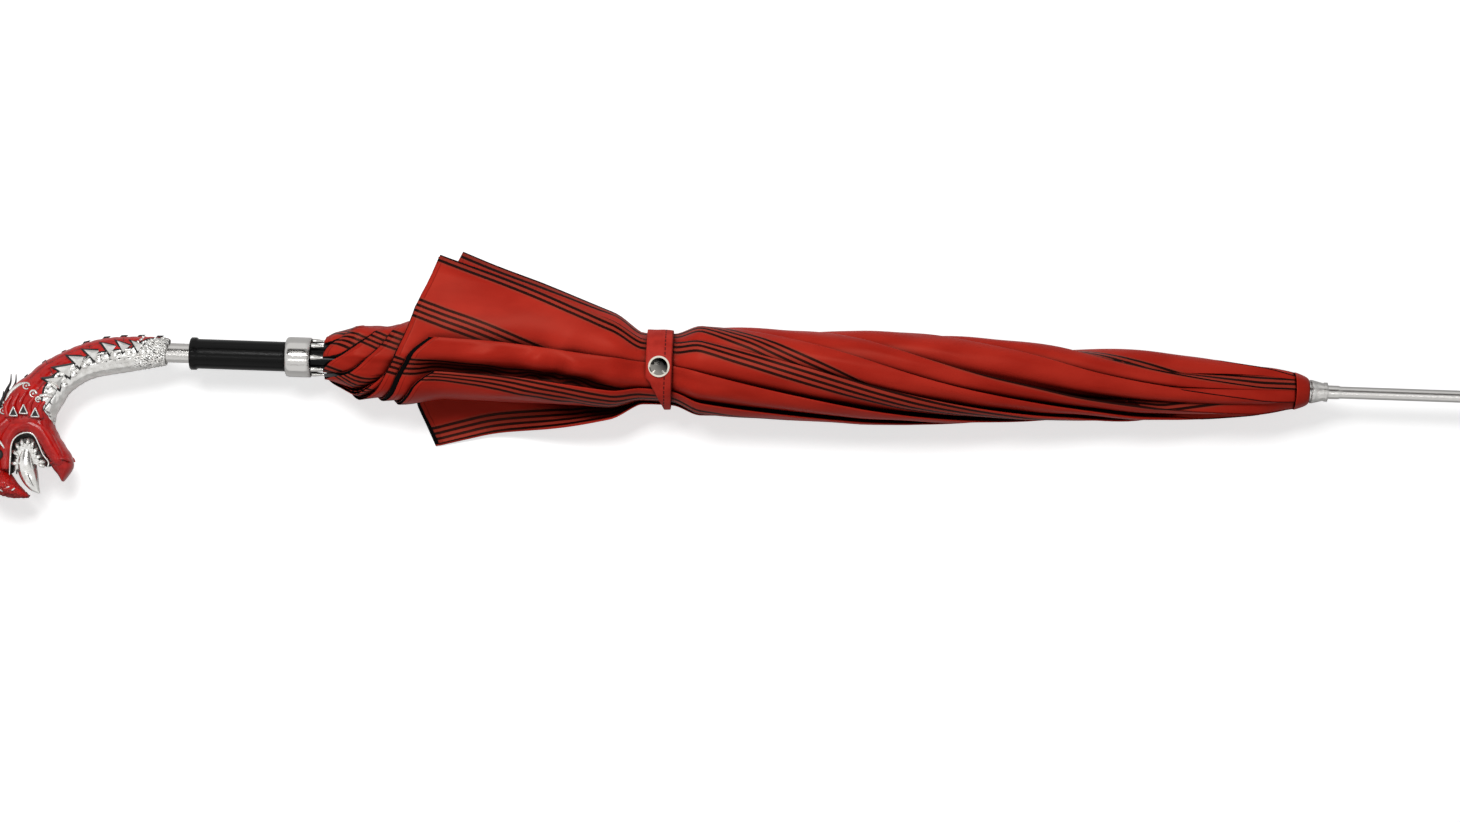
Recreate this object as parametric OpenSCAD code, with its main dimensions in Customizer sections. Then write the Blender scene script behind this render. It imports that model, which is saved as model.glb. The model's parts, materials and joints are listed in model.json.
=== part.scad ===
// Stick umbrella with a carved dragon-head crook handle, furled and held by its strap.
// The shaft lies along X, from the handle at -X to the ferrule at +X. Z points up.
// The origin is on the shaft's axis, where the parallel part of the ferrule starts.

/* [Shaft] */
// Outside diameter of the shaft tube
shaft_dia = 12; // [10:0.5:16]
// Wall of the shaft tube
shaft_wall = 0.7; // [0.5:0.1:1.2]
// Length of the ferrule's parallel part
ferrule_length = 84; // [40:1:110]
// Diameter of the ferrule's parallel part
ferrule_dia = 7.5; // [6:0.5:9]

/* [Folding frame] */
// Distance from the ferrule's shoulder back to the rib pivots
notch_set = 26; // [22:1:34]
// Length of a rib from its pivot to the canopy's hem
rib_length = 598; // [520:2:640]
// Distance from the canopy's hem forward to the stretcher pivots on the runner
crown_set = 18; // [14:0.5:26]
// Radius of the circle that the rib and stretcher pivots sit on
pivot_radius = 8; // [7.8:0.1:9]
// Radius of the middle of a rib when the umbrella is closed
rib_radius = 10.5; // [10:0.1:12]
// Height of a rib's section
rib_height = 2.2; // [2:0.1:3.2]
// Width of a rib
rib_width = 2; // [1.5:0.1:2.4]
// Length of a rib tip in front of the hem
rib_tip_length = 8; // [6:0.5:12]
// How far a rib swings out when the umbrella is open
open_angle = 65; // [55:1:72]

/* [Runner] */
// Length of the black grip sleeve
sleeve_length = 58.8; // [40:1:80]
// Diameter of the grip sleeve
sleeve_dia = 18.3; // [16:0.5:24]
// Diameter of the sleeve's end lip
lip_dia = 20.1; // [18:0.5:26]
// Length of the chromed cup at the rib tips
cup_length = 15.4; // [10:0.5:24]
// Diameter of the chromed cup
cup_dia = 24.6; // [22:0.2:32]

/* [Canopy] */
// Radius of the furled bundle where it is thickest
bundle_radius = 27.6; // [24:0.2:34]
// Radius of the bundle under the strap
cinched_radius = 22; // [20:0.2:24]
// Inside radius of the folded cloth, over the ribs
cloth_inside = 12.1; // [12:0.1:14]
// How far a pleat winds round the bundle at the strap, in degrees
pleat_wrap = 234; // [200:2:260]
// How fast the pleat edges wind round the bundle, in degrees per millimetre
pleat_twist = 0.53; // [0.3:0.01:0.7]
// Clear space between two pleats
pleat_gap = 1.1; // [0.8:0.05:1.4]
// Distance along the shaft from a gore's corner to the hem at the ribs
corner_set = 69; // [50:1:90]
// How far the two long flaps stand out at their corners
long_flap = 68; // [50:1:75]
// How far the lowest flap stands out at its corner
low_flap = 60; // [40:1:62]

/* [Strap] */
// Distance from the ferrule's shoulder back to the strap's middle
strap_set = 418; // [400:1:440]
// Width of the strap
strap_width = 16; // [12:0.5:22]
// Thickness of the strap
strap_thick = 0.8; // [0.6:0.1:1.2]
// Diameter of the press stud's cap
snap_dia = 13; // [10:0.5:16]

/* [Handle] */
// Length of bare shaft between the grip sleeve and the handle
neck_gap = 13.1; // [8:0.1:40]
// Length of the straight neck
neck_length = 37.4; // [34:0.5:44]
// Radius of the neck at its slim end
neck_slim = 8.4; // [7.6:0.1:10]
// Radius of the neck where the crook starts
neck_thick = 11.3; // [10:0.1:14]
// Half width of the head above the mouth
head_half = 20; // [16:0.5:24]
// Half thickness of the head, across the crook
head_deep = 14; // [10:0.5:18]

/* [Hidden] */
$fn = 48;
eps = 0.01;
shaft_r = shaft_dia / 2;
bore_r = shaft_r + 0.08;
notch_x = -notch_set;
// A stretcher and the rib part over it have one length, so that the frame folds flat.
link_length = (rib_length - crown_set) / 2;
saddle_x = notch_x - link_length;
crown_x = notch_x - 2 * link_length;
hem_x = notch_x - rib_length;
tip_end_x = hem_x - rib_tip_length;
// The saddle pivot sits inside the rib's section, a little below its middle.
saddle_r = rib_radius - 0.3;
rib_low = rib_radius - rib_height / 2;
rib_high = rib_radius + rib_height / 2;
tip_r = rib_radius - 0.4;
cup_x = tip_end_x - 0.3;
sleeve_x = cup_x - cup_length;
grip_end_x = sleeve_x - sleeve_length;
wire_r = 0.5;
eye_r = 1.4;
link_eye_r = 1.1;
eye_hole_r = 0.7;
pin_r = 0.6;
slot_w = rib_width + 0.6;
// How far the runner slides when the frame opens.
link_lean = atan((saddle_r - pivot_radius) / link_length);
link_span = norm([link_length, saddle_r - pivot_radius]);
runner_travel = 2 * link_span * (cos(link_lean) - cos(open_angle + link_lean));
open_end_x = grip_end_x + runner_travel;
catch_angle = 247.5;
catch_high = shaft_r + 2.3;
neck_x = grip_end_x - neck_gap;
tube_end_x = -13.5;
crook_x = neck_x - neck_length;
strap_x = -strap_set;
band_in = cinched_radius + 0.8;
band_out = band_in + strap_thick;
tail_in = band_out + 0.3;
tail_out = tail_in + strap_thick;
snap_angle = 86.7;
hinge_angle = 12;

red = [0.72, 0.10, 0.06];
silver = [0.78, 0.78, 0.80];
black = [0.03, 0.03, 0.03];
chrome = [0.82, 0.83, 0.85];
cloth = [0.74, 0.16, 0.09];

// Helpers

function clamp(v, low, high) = max(low, min(high, v));
function mix(a, b, t) = a + (b - a) * t;
function ease(t) = let(c = clamp(t, 0, 1)) c * c * (3 - 2 * c);
function between(v, a, b) = clamp((v - a) / (b - a), 0, 1);

// Turns a piece drawn with +Z outward to the given angle round the shaft.
// Angle 0 points along +Y, and angle 90 along +Z.
module at_angle(a) {
    rotate([a - 90, 0, 0])
        children();
}

// A plate standing on the shaft's axis, drawn as X and radius.
module plate(w) {
    rotate([90, 0, 0])
        linear_extrude(height = w, center = true)
            children();
}

// A solid of revolution about the shaft, drawn as radius and X.
module turned() {
    rotate([0, 90, 0])
        rotate([0, 0, 90])
            rotate_extrude()
                children();
}

// Part of a solid of revolution about the shaft, from angle a to angle b.
module turned_arc(a, b) {
    rotate([0, 90, 0])
        rotate([0, 0, a + 90])
            rotate_extrude(angle = b - a)
                children();
}

// A cylinder along X.
module rod(x0, x1, r) {
    translate([x0, 0, 0])
        rotate([0, 90, 0])
            cylinder(h = x1 - x0, r = r);
}

// Handle forms

function bez(p, t) =
    pow(1 - t, 3) * p[0] + 3 * t * pow(1 - t, 2) * p[1]
    + 3 * t * t * (1 - t) * p[2] + pow(t, 3) * p[3];
function bez_way(p, t) =
    3 * pow(1 - t, 2) * (p[1] - p[0]) + 6 * t * (1 - t) * (p[2] - p[1])
    + 3 * t * t * (p[3] - p[2]);
function side(v) = [-v[1], v[0], 0] / norm([v[0], v[1]]);

// A smooth solid along a curve: p is its four control points, wide and deep its half
// sizes at start, first third, second third and end, in the crook's plane and across it.
module loft(p, wide, deep, rows, n, t0 = 0, t1 = 1) {
    pts = [
        for (i = [0:rows])
            let(
                t = mix(t0, t1, i / rows),
                c = bez(p, t),
                s = side(bez_way(p, t)),
                w = bez(wide, t),
                d = bez(deep, t)
            )
            for (k = [0:n - 1])
                let(q = 360 * k / n)
                c + s * w * cos(q) + [0, 0, d * sin(q)]
    ];
    walls = [
        for (i = [0:rows - 1])
            for (k = [0:n - 1])
                let(a = i * n + k, b = i * n + (k + 1) % n)
                each [[a, b, b + n], [a, b + n, a + n]]
    ];
    first = [for (k = [1:n - 2]) [0, k + 1, k]];
    last = [for (k = [1:n - 2]) let(z = rows * n) [z, z + k, z + k + 1]];
    polyhedron(points = pts, faces = [for (f = concat(walls, first, last)) [f[2], f[1], f[0]]]);
}

crook_path = [
    [crook_x, -1.2, 0],
    [crook_x - 20, -3.5, 0],
    [crook_x - 46, -22, 0],
    [crook_x - 52, -50, 0]
];
head_x = crook_x - 52;
upper_path = [
    [head_x - 10, -40, 0],
    [head_x - 25, -60, 0],
    [head_x - 20, -90, 0],
    [head_x + 6, -90.5, 0]
];
lower_path = [
    [head_x + 11, -40, 0],
    [head_x + 19, -52, 0],
    [head_x + 25, -64, 0],
    [head_x + 26, -80.5, 0]
];
tongue_path = [
    [head_x + 5, -56, 0],
    [head_x + 5, -72, 0],
    [head_x + 8, -82, 0],
    [head_x + 12.5, -91, 0]
];

// Canopy forms: a pleat is a double layer of cloth that winds back round the bundle.
// s is the distance from the ferrule's shoulder, and u runs from a pleat's root to its edge.

pleats = 8;
roll_rows = 9;
rows_s = [
    19, 22.5, 27, 48,
    for (i = [1:roll_rows - 1]) mix(48, strap_set - 26, pow(i / roll_rows, 0.9)),
    strap_set - 26, strap_set - 10, strap_set + 10, strap_set + 24,
    mix(strap_set + 24, corner_s(), 0.25), mix(strap_set + 24, corner_s(), 0.6)
];
row_count = len(rows_s) + 2;
u_steps = 13;
// Each pleat's own shift from an even spacing, halfway along the bundle and at its corner.
mid_shift = [18, 21, 22, 5, -6, -12, -30, -16];
corner_shift = [58, 45, 28, 12, -23, -12, -16, 43];
// How far each pleat's corner stands out from the shaft's axis.
corner_out = [28, 28, 28, long_flap + 5, long_flap, 32, 28, low_flap];

// The least radius of the cloth, over the frame.
function cloth_low(s) =
    s < 22.5 ? mix(7.2, 9.2, between(s, 19, 22.5))
    : s < 27 ? mix(9.2, 9.8, between(s, 22.5, 27))
    : mix(9.8, cloth_inside, between(s, 28, 48));
// The bundle's outer radius.
function roll_radius(s) = 11 + (bundle_radius - 10.7) * pow(between(s, notch_set, 300), 0.58);
function cinch(s) = ease(between(s, strap_set - 34, strap_set - 10))
    * (1 - ease(between(s, strap_set + 10, strap_set + 30)));
function bundle(s) =
    s < notch_set + 1 ? mix(8.1, 10.9, between(s, 19, 27))
    : let(open_r = min(roll_radius(s), bundle_radius) - 2 * between(s, strap_set + 22, corner_s() + 5))
    mix(open_r, cinched_radius, cinch(s));
// How far round a pleat winds.
function wind(s) = 43 + (pleat_wrap - 43) * pow(between(s, 60, strap_set), 0.9);
// The even angle of the pleats' edges.
function edge_even(s) = s < strap_set
    ? 216 + (strap_set - s) * pleat_twist
    : 216 - 0.045 * (s - strap_set);
function mid_bump(s) = ease(between(s, 50, 170)) * (1 - ease(between(s, 225, strap_set - 8)));
function corner_bump(s) = ease(between(s, strap_set + 8, corner_s() - 27));
function shift(j, s) = mid_shift[j] * mid_bump(s) + corner_shift[j] * corner_bump(s);
function corner_s() = -hem_x - corner_set;
// How far the edge of a pleat stands out from the axis.
function flare_out(j, s) = let(
        f = between(s, strap_set + 10, corner_s()),
        r = bundle(s)
    )
    mix(r, max(corner_out[j], r), f);
function flare_angle(j, s) = acos(clamp(bundle(s) / flare_out(j, s), 0.3, 1));
function spiral(s, w) = let(r0 = cloth_low(s), t = cloth_thick(s))
    r0 + (bundle(s) - t - r0) * w / wind(s);
function cloth_thick(s) = let(q = 45 / max(wind(s), 45))
    clamp(((bundle(s) - cloth_low(s)) * q - pleat_gap) / (1 + q), 0.75, 2.2);
function hem_s(u) = -hem_x - corner_set * pow(u, 1.35);
function row_s(i, u) = i < len(rows_s) ? rows_s[i]
    : i == len(rows_s) ? (rows_s[len(rows_s) - 1] + hem_s(u)) / 2
    : hem_s(u);
// A point of pleat j, on its inner skin for side 0 and on its outer skin for side 1.
function cloth_point(j, i, n, skin) = let(
        u = n / u_steps,
        s = row_s(i, u),
        reach = wind(s) - shift(j, s),
        w = reach * u,
        edge = 45 * j + edge_even(s) + shift(j, s),
        a = edge + reach - w,
        lift = max(0, flare_angle(j, s) - (reach - w)),
        thin = u > 0.99 ? 0.55 : 1,
        body = cloth_thick(s) * thin * (skin == 1 ? 1 : 0),
        inset = u > 0.99 ? cloth_thick(s) * 0.2 : 0,
        r = spiral(s, w) / cos(lift) + body + inset
    )
    [-s, r * cos(a), r * sin(a)];

module gore(j) {
    m = row_count;
    k = u_steps + 1;
    pts = [
        for (skin = [0, 1])
            for (i = [0:m - 1])
                for (n = [0:u_steps])
                    cloth_point(j, i, n, skin)
    ];
    inner = [
        for (i = [0:m - 2])
            for (n = [0:u_steps - 1])
                let(a = i * k + n)
                each [[a, a + 1, a + k + 1], [a, a + k + 1, a + k]]
    ];
    top = m * k;
    outer = [for (f = inner) [f[0] + top, f[2] + top, f[1] + top]];
    start_rim = [
        for (n = [0:u_steps - 1])
            each [[n, n + top, n + 1 + top], [n, n + 1 + top, n + 1]]
    ];
    hem = (m - 1) * k;
    hem_rim = [
        for (n = [0:u_steps - 1])
            let(a = hem + n)
            each [[a, a + 1 + top, a + top], [a, a + 1, a + 1 + top]]
    ];
    root_rim = [
        for (i = [0:m - 2])
            let(a = i * k)
            each [[a, a + k + top, a + top], [a, a + k, a + k + top]]
    ];
    edge_rim = [
        for (i = [0:m - 2])
            let(a = i * k + u_steps)
            each [[a, a + top, a + k + top], [a, a + k + top, a + k]]
    ];
    color(cloth)
        polyhedron(
            points = pts,
            faces = concat(inner, outer, start_rim, hem_rim, root_rim, edge_rim)
        );
}

// Frame pieces

module rib() {
    color(chrome)
        difference() {
            union() {
                plate(rib_width)
                    polygon([
                        [notch_x, pivot_radius - 1.2],
                        [notch_x, pivot_radius + 1.2],
                        [notch_x - 22, rib_high],
                        [hem_x, rib_high],
                        [hem_x, rib_low],
                        [notch_x - 22, rib_low]
                    ]);
                translate([notch_x, 0, pivot_radius])
                    rotate([90, 0, 0])
                        cylinder(h = rib_width, r = eye_r, center = true);
            }
            translate([notch_x, 0, pivot_radius])
                rotate([90, 0, 0])
                    cylinder(h = rib_width + 2, r = eye_hole_r, center = true);
            translate([saddle_x, 0, saddle_r])
                rotate([90, 0, 0])
                    cylinder(h = rib_width + 2, r = pin_r + 0.06, center = true);
        }
}

module rib_tip() {
    color(chrome)
        translate([0, 0, tip_r])
            turned()
                polygon([
                    [0, tip_end_x],
                    [1.2, tip_end_x],
                    [1.5, tip_end_x + 0.4],
                    [1.5, tip_end_x + 2.5],
                    [0.85, hem_x - 1],
                    [0.85, hem_x],
                    [0, hem_x]
                ]);
}

module stretcher() {
    low = pivot_radius - 1.25;
    high = rib_low - 0.35;
    fork = 19;
    prong = 0.8;
    prong_y = rib_width / 2 + 0.3 + prong / 2;
    color(silver)
        difference() {
            union() {
                plate(rib_width)
                    polygon([
                        [crown_x, low],
                        [crown_x, high],
                        [saddle_x - fork + 4, high],
                        [saddle_x - fork + 4, low]
                    ]);
                translate([crown_x, 0, pivot_radius])
                    rotate([90, 0, 0])
                        cylinder(h = rib_width, r = link_eye_r, center = true);
                plate(2 * prong_y + prong)
                    polygon([
                        [saddle_x - fork, low],
                        [saddle_x - fork, high],
                        [saddle_x - fork + 4, high],
                        [saddle_x - fork + 4, low]
                    ]);
                for (y = [-prong_y, prong_y])
                    translate([0, y, 0])
                        plate(prong)
                            polygon([
                                [saddle_x - fork, low],
                                [saddle_x - fork, high],
                                [saddle_x - 1.5, saddle_r + 1.2],
                                [saddle_x + 1.5, saddle_r + 1.2],
                                [saddle_x + 1.5, saddle_r - 1.6],
                                [saddle_x - fork + 8, low]
                            ]);
                translate([saddle_x, 0, saddle_r])
                    rotate([90, 0, 0])
                        cylinder(h = 2 * prong_y + prong, r = pin_r, center = true);
            }
            translate([crown_x, 0, pivot_radius])
                rotate([90, 0, 0])
                    cylinder(h = rib_width + 2, r = eye_hole_r, center = true);
        }
}

module hinge_wire(x) {
    color(silver)
        translate([x, 0, 0])
            turned()
                translate([pivot_radius, 0])
                    circle(r = wire_r, $fn = 24);
}

// Cuts the slots for eight eyes, and the groove for their wire.
module eye_slots(x, x0, x1) {
    for (k = [0:pleats - 1])
        at_angle(45 * k)
            plate(slot_w)
                polygon([[x0, shaft_r + 0.4], [x0, 12], [x1, 12], [x1, shaft_r + 0.4]]);
    translate([x, 0, 0])
        turned()
            translate([pivot_radius, 0])
                circle(r = wire_r + 0.03, $fn = 24);
}

// Fixed pieces of the shaft

module catch_slot(x0, x1, high) {
    at_angle(catch_angle)
        plate(2.2)
            polygon([[x0, shaft_r - 2.5], [x0, high], [x1, high], [x1, shaft_r - 2.5]]);
}

low_catch_nose = sleeve_x - 36;
low_catch_pin = low_catch_nose + 24;
top_catch_nose = open_end_x - 0.5;
top_catch_pin = top_catch_nose - 24;

module catch_pin_hole(x) {
    at_angle(catch_angle)
        translate([x, 0, 2.6])
            rotate([90, 0, 0])
                cylinder(h = 2 * shaft_dia, r = 0.76, center = true);
}

module shaft_tube() {
    color(chrome)
        difference() {
            rod(crook_x + 2, tube_end_x, shaft_r);
            rod(crook_x + 1, tube_end_x + 1, shaft_r - shaft_wall);
            catch_slot(low_catch_nose - 1, low_catch_pin - 3, shaft_r + 1);
            catch_slot(top_catch_pin + 3, top_catch_nose + 1, shaft_r + 1);
            catch_pin_hole(low_catch_pin);
            catch_pin_hole(top_catch_pin);
        }
}

// A sprung catch with its own pin: way is -1 with the nose at -X, and 1 at +X.
module catch(pin_x, nose_x, way) {
    color(silver)
        at_angle(catch_angle)
            union() {
                plate(1.6)
                    polygon([
                        [pin_x - way * 1.4, 1.4],
                        [pin_x - way * 1.4, 3.8],
                        [pin_x + way * 6, 4.6],
                        [nose_x - way * 1, catch_high],
                        [nose_x, catch_high],
                        [nose_x, 3],
                        [pin_x, 1.2]
                    ]);
                translate([pin_x, 0, 2.6])
                    rotate([90, 0, 0])
                        cylinder(h = 9.6, r = 0.7, center = true);
            }
}

module bottom_catch() {
    catch(low_catch_pin, low_catch_nose, -1);
}

module top_catch() {
    catch(top_catch_pin, top_catch_nose, 1);
}

module top_notch() {
    color(silver)
        difference() {
            rod(notch_x - 6, notch_x + 2.5, pivot_radius + 0.8);
            rod(notch_x - 7, notch_x + 3, shaft_r);
            eye_slots(notch_x, notch_x - 7, notch_x + 1.8);
        }
}

module notch_wire() {
    hinge_wire(notch_x);
}

module canopy_cap() {
    color(chrome)
        turned()
            polygon([
                [shaft_r, -17.8],
                [7.2, -17.8],
                [7.2, -16.8],
                [5.4, -9.6],
                [5.9, -9.2],
                [5.9, -7.4],
                [ferrule_dia / 2 + 0.45, -7.4],
                [ferrule_dia / 2 + 0.45, tube_end_x],
                [shaft_r, tube_end_x]
            ]);
}

module ferrule() {
    r = ferrule_dia / 2;
    color(chrome)
        turned()
            polygon([
                [0, -24],
                [shaft_r - shaft_wall - 0.05, -24],
                [shaft_r - shaft_wall - 0.05, tube_end_x],
                [r + 0.45, tube_end_x],
                [r + 0.45, 0],
                [r, 0],
                [r, ferrule_length - 2],
                [r - 1.2, ferrule_length - 0.4],
                [r - 2.2, ferrule_length],
                [0, ferrule_length]
            ]);
}

// Runner

module runner_sleeve() {
    color(black)
        difference() {
            turned()
                polygon([
                    [bore_r, grip_end_x],
                    [lip_dia / 2 - 0.6, grip_end_x],
                    [lip_dia / 2, grip_end_x + 0.6],
                    [lip_dia / 2, grip_end_x + 3.6],
                    [sleeve_dia / 2, grip_end_x + 4.6],
                    [sleeve_dia / 2, sleeve_x],
                    [bore_r, sleeve_x]
                ]);
            catch_slot(low_catch_nose - 0.4, low_catch_pin - 5, lip_dia);
        }
}

module tip_cup() {
    inner = pivot_radius;
    color(chrome)
        turned()
            polygon([
                [inner, sleeve_x],
                [cup_dia / 2 - 1.5, sleeve_x],
                [cup_dia / 2 - 0.5, sleeve_x + 0.6],
                [cup_dia / 2, sleeve_x + 2],
                [cup_dia / 2, cup_x - 0.3],
                [cup_dia / 2 - 0.4, cup_x],
                [cup_dia / 2 - 0.8, cup_x],
                [cup_dia / 2 - 0.8, cup_x - 1.5],
                [inner, cup_x - 1.5]
            ]);
}

module runner_crown() {
    color(chrome)
        difference() {
            turned()
                polygon([
                    [bore_r, sleeve_x],
                    [pivot_radius, sleeve_x],
                    [pivot_radius, crown_x - 5],
                    [pivot_radius + 0.9, crown_x - 4],
                    [pivot_radius + 0.9, crown_x + 3],
                    [bore_r, crown_x + 3]
                ]);
            eye_slots(crown_x, crown_x - 2, crown_x + 4);
        }
}

module runner_wire() {
    hinge_wire(crown_x);
}

// Strap

module strap_band() {
    color(cloth)
        turned_arc(snap_angle - 16, 360 + hinge_angle - 2.2)
            translate([band_in, strap_x - strap_width / 2])
                square([strap_thick, strap_width]);
}

module strap_tail() {
    left = strap_x - strap_width / 2;
    right = strap_x + strap_width / 2;
    color(cloth)
        difference() {
            union() {
                turned_arc(hinge_angle, 168)
                    translate([tail_in, left])
                        square([strap_thick, strap_width]);
                at_angle(hinge_angle)
                    translate([0, 0, (tail_in + tail_out) / 2])
                        rod(left, right, 0.55);
            }
            // The strap narrows below its press stud.
            translate([0, 0, 0.5])
                linear_extrude(height = 40)
                    polygon([
                        [left - 1, -6],
                        [left, -6],
                        [left + 3.5, -14],
                        [right - 4, -22],
                        [right - 2.2, -27],
                        [left - 1, -27]
                    ]);
            at_angle(snap_angle)
                translate([strap_x, 0, 15])
                    cylinder(h = 20, r = 4.2);
        }
}

module snap_cap() {
    r = snap_dia / 2;
    base = tail_in + 0.1;
    color(chrome)
        at_angle(snap_angle)
            translate([strap_x, 0, 0])
                rotate_extrude()
                    polygon([
                        [0, base + 1.4],
                        [4, base + 1.4],
                        [4, base],
                        [r - 0.3, base],
                        [r, base + 0.4],
                        [r, base + 1.6],
                        [r - 0.6, base + 2],
                        [r - 1.2, base + 1.7],
                        [r - 3.2, base + 2.3],
                        [0, base + 2.6]
                    ]);
}

module snap_stud() {
    color(silver)
        at_angle(snap_angle)
            translate([strap_x, 0, band_in + 0.1])
                cylinder(h = tail_in + 1.2 - band_in - 0.1, r = 2.4);
}

// Handle

module handle_neck() {
    color(red)
        difference() {
            turned()
                polygon([
                    [0, crook_x],
                    [neck_thick, crook_x],
                    [neck_thick - 0.3, crook_x + 8],
                    [neck_thick - 1, crook_x + 18],
                    [neck_slim + 0.6, neck_x - 6],
                    [neck_slim, neck_x],
                    [0, neck_x]
                ]);
            rod(crook_x + 2, neck_x + 1, shaft_r + eps);
        }
}

module handle_collar() {
    color(chrome)
        turned()
            polygon([
                [shaft_r + eps, neck_x],
                [neck_slim - 0.2, neck_x],
                [neck_slim - 0.2, neck_x + 0.6],
                [neck_slim - 0.8, neck_x + 1.2],
                [shaft_r + eps, neck_x + 1.2]
            ]);
}

module handle_body() {
    color(red)
        loft(
            crook_path,
            [neck_thick, neck_thick + 0.5, 12.5, head_half],
            [neck_thick, neck_thick + 0.8, head_deep - 1, head_deep],
            20, 20
        );
}

module upper_jaw() {
    color(red)
        loft(upper_path, [12, 12, 10, 0.8], [13, 12, 9, 1], 14, 16);
}

module lower_jaw() {
    color(red)
        loft(lower_path, [9, 4.5, 12, 0.8], [12, 9, 9, 1], 14, 16);
}

module mouth_lining() {
    // A silver arch that lines the open mouth.
    arch = [
        [head_x - 5.5, -80, 0],
        [head_x - 8, -42, 0],
        [head_x + 16, -42, 0],
        [head_x + 16, -76, 0]
    ];
    color(silver)
        loft(arch, [1.6, 1.6, 1.6, 1.6], [6.5, 6.5, 6.5, 6.5], 16, 10);
}

module tongue() {
    color(silver)
        loft(tongue_path, [5, 5.5, 4.5, 1], [3, 3.2, 3, 1], 10, 10);
}

module tooth(x, y, turn, h) {
    translate([x, y, 6.2])
        rotate([0, 90, turn])
            cylinder(h = h, r1 = 1.5, r2 = 0.3);
}

module teeth() {
    color(silver)
        for (z = [0, 1])
            mirror([0, 0, z])
                for (k = [0:3]) {
                    tooth(head_x - 6 - 0.4 * k, -60 - 5 * k, 0, 4);
                    tooth(head_x + 12.5 + 0.9 * k, -58 - 5 * k, 180, 4);
                }
}

module horns() {
    color(silver)
        for (z = [0, 1])
            mirror([0, 0, z]) {
                // Ear horn beside the crook
                translate([head_x + 18, -28, 9])
                    rotate([0, -90, -5])
                        cylinder(h = 9, r1 = 2.2, r2 = 0.9);
                // Long thin horn standing out behind the head
                translate([head_x - 9, -42, 9])
                    rotate([-90, 0, -18])
                        cylinder(h = 28, r1 = 1.8, r2 = 0.3);
                // Whisker
                translate([head_x - 14, -52, 9])
                    rotate([-90, 0, 34])
                        cylinder(h = 24, r1 = 1.4, r2 = 0.3);
            }
}

module dorsal_spines() {
    color(silver)
        union() {
            for (k = [0:3])
                translate([neck_x - 10 - 9 * k, neck_slim + 0.055 * (10 + 9 * k) - 0.6, 0])
                    rotate([90, 0, 0])
                        rotate([-90, 0, 0])
                            linear_extrude(height = 1.2, center = true)
                                polygon([[-3.5, -1], [3.5, -1], [-3.5, 3]]);
            for (k = [1:5])
                let(
                    t = k / 6,
                    c = bez(crook_path, t),
                    v = bez_way(crook_path, t),
                    s = -side(v),
                    w = bez([neck_thick, neck_thick + 0.5, 12.5, head_half], t),
                    p = c + s * (w - 0.8)
                )
                translate(p)
                    rotate([0, 0, atan2(s[1], s[0]) - 90])
                        linear_extrude(height = 1.2, center = true)
                            polygon([[-3.5, -1], [3.5, -1], [-3.5, 3.4]]);
        }
}

module side_scales() {
    // Pointed silver scales where the red back meets the belly, on both sides.
    color(silver)
        for (z = [0, 1])
            mirror([0, 0, z]) {
                for (k = [0:2])
                    translate([neck_x - 22 - 9 * k, 3, neck_thick - 2.2 + 0.3 * k])
                        linear_extrude(height = 1.8)
                            polygon([[4, -4], [-3, -3.5], [-4.5, 3]]);
                for (k = [1:4])
                    let(
                        t = 0.15 + 0.16 * k,
                        c = bez(crook_path, t),
                        v = bez_way(crook_path, t),
                        s = -side(v)
                    )
                    translate([c[0] + 3 * s[0], c[1] + 3 * s[1], 9.5 + 0.5 * k])
                        rotate([0, 0, atan2(v[1], v[0]) - 180])
                            linear_extrude(height = 2.2)
                                polygon([[4.5, -5], [-4.5, -5], [-5, 4.5]]);
                // Three brow scales above the mouth
                for (k = [-1:1])
                    translate([head_x + 1 + 9.5 * k, -40 - 1.6 * abs(k), head_deep - 3.4])
                        linear_extrude(height = 2.6)
                            polygon([[-3.4, -4], [3.4, -4], [-1, 4.5]]);
            }
}

module belly_scales() {
    // Plated bands under the neck.
    color(silver)
        for (k = [0:6])
            let(
                x = neck_x - 3 - 4.9 * k,
                r = mix(neck_slim, neck_thick, between(neck_x - x, 0, 24))
            )
            turned_arc(98, 262)
                polygon([
                    [r - 0.6, x - 4.2],
                    [r + 0.9, x - 4.2],
                    [r + 0.3, x],
                    [r - 0.6, x]
                ]);
}

module eyes() {
    color(black)
        for (z = [-1, 1])
            translate([head_x - 15, -60, 9.8 * z])
                sphere(r = 3.2);
}

shaft_tube();
ferrule();
canopy_cap();
top_notch();
notch_wire();
top_catch();
bottom_catch();
handle_neck();
handle_collar();
handle_body();
upper_jaw();
lower_jaw();
mouth_lining();
tongue();
teeth();
horns();
dorsal_spines();
side_scales();
belly_scales();
eyes();
runner_sleeve();
tip_cup();
runner_crown();
runner_wire();
at_angle(0) rib();  // rib_1
at_angle(45) rib();  // rib_2
at_angle(90) rib();  // rib_3
at_angle(135) rib();  // rib_4
at_angle(180) rib();  // rib_5
at_angle(225) rib();  // rib_6
at_angle(270) rib();  // rib_7
at_angle(315) rib();  // rib_8
at_angle(0) rib_tip();  // rib_tip_1
at_angle(45) rib_tip();  // rib_tip_2
at_angle(90) rib_tip();  // rib_tip_3
at_angle(135) rib_tip();  // rib_tip_4
at_angle(180) rib_tip();  // rib_tip_5
at_angle(225) rib_tip();  // rib_tip_6
at_angle(270) rib_tip();  // rib_tip_7
at_angle(315) rib_tip();  // rib_tip_8
at_angle(0) stretcher();  // stretcher_1
at_angle(45) stretcher();  // stretcher_2
at_angle(90) stretcher();  // stretcher_3
at_angle(135) stretcher();  // stretcher_4
at_angle(180) stretcher();  // stretcher_5
at_angle(225) stretcher();  // stretcher_6
at_angle(270) stretcher();  // stretcher_7
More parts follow.
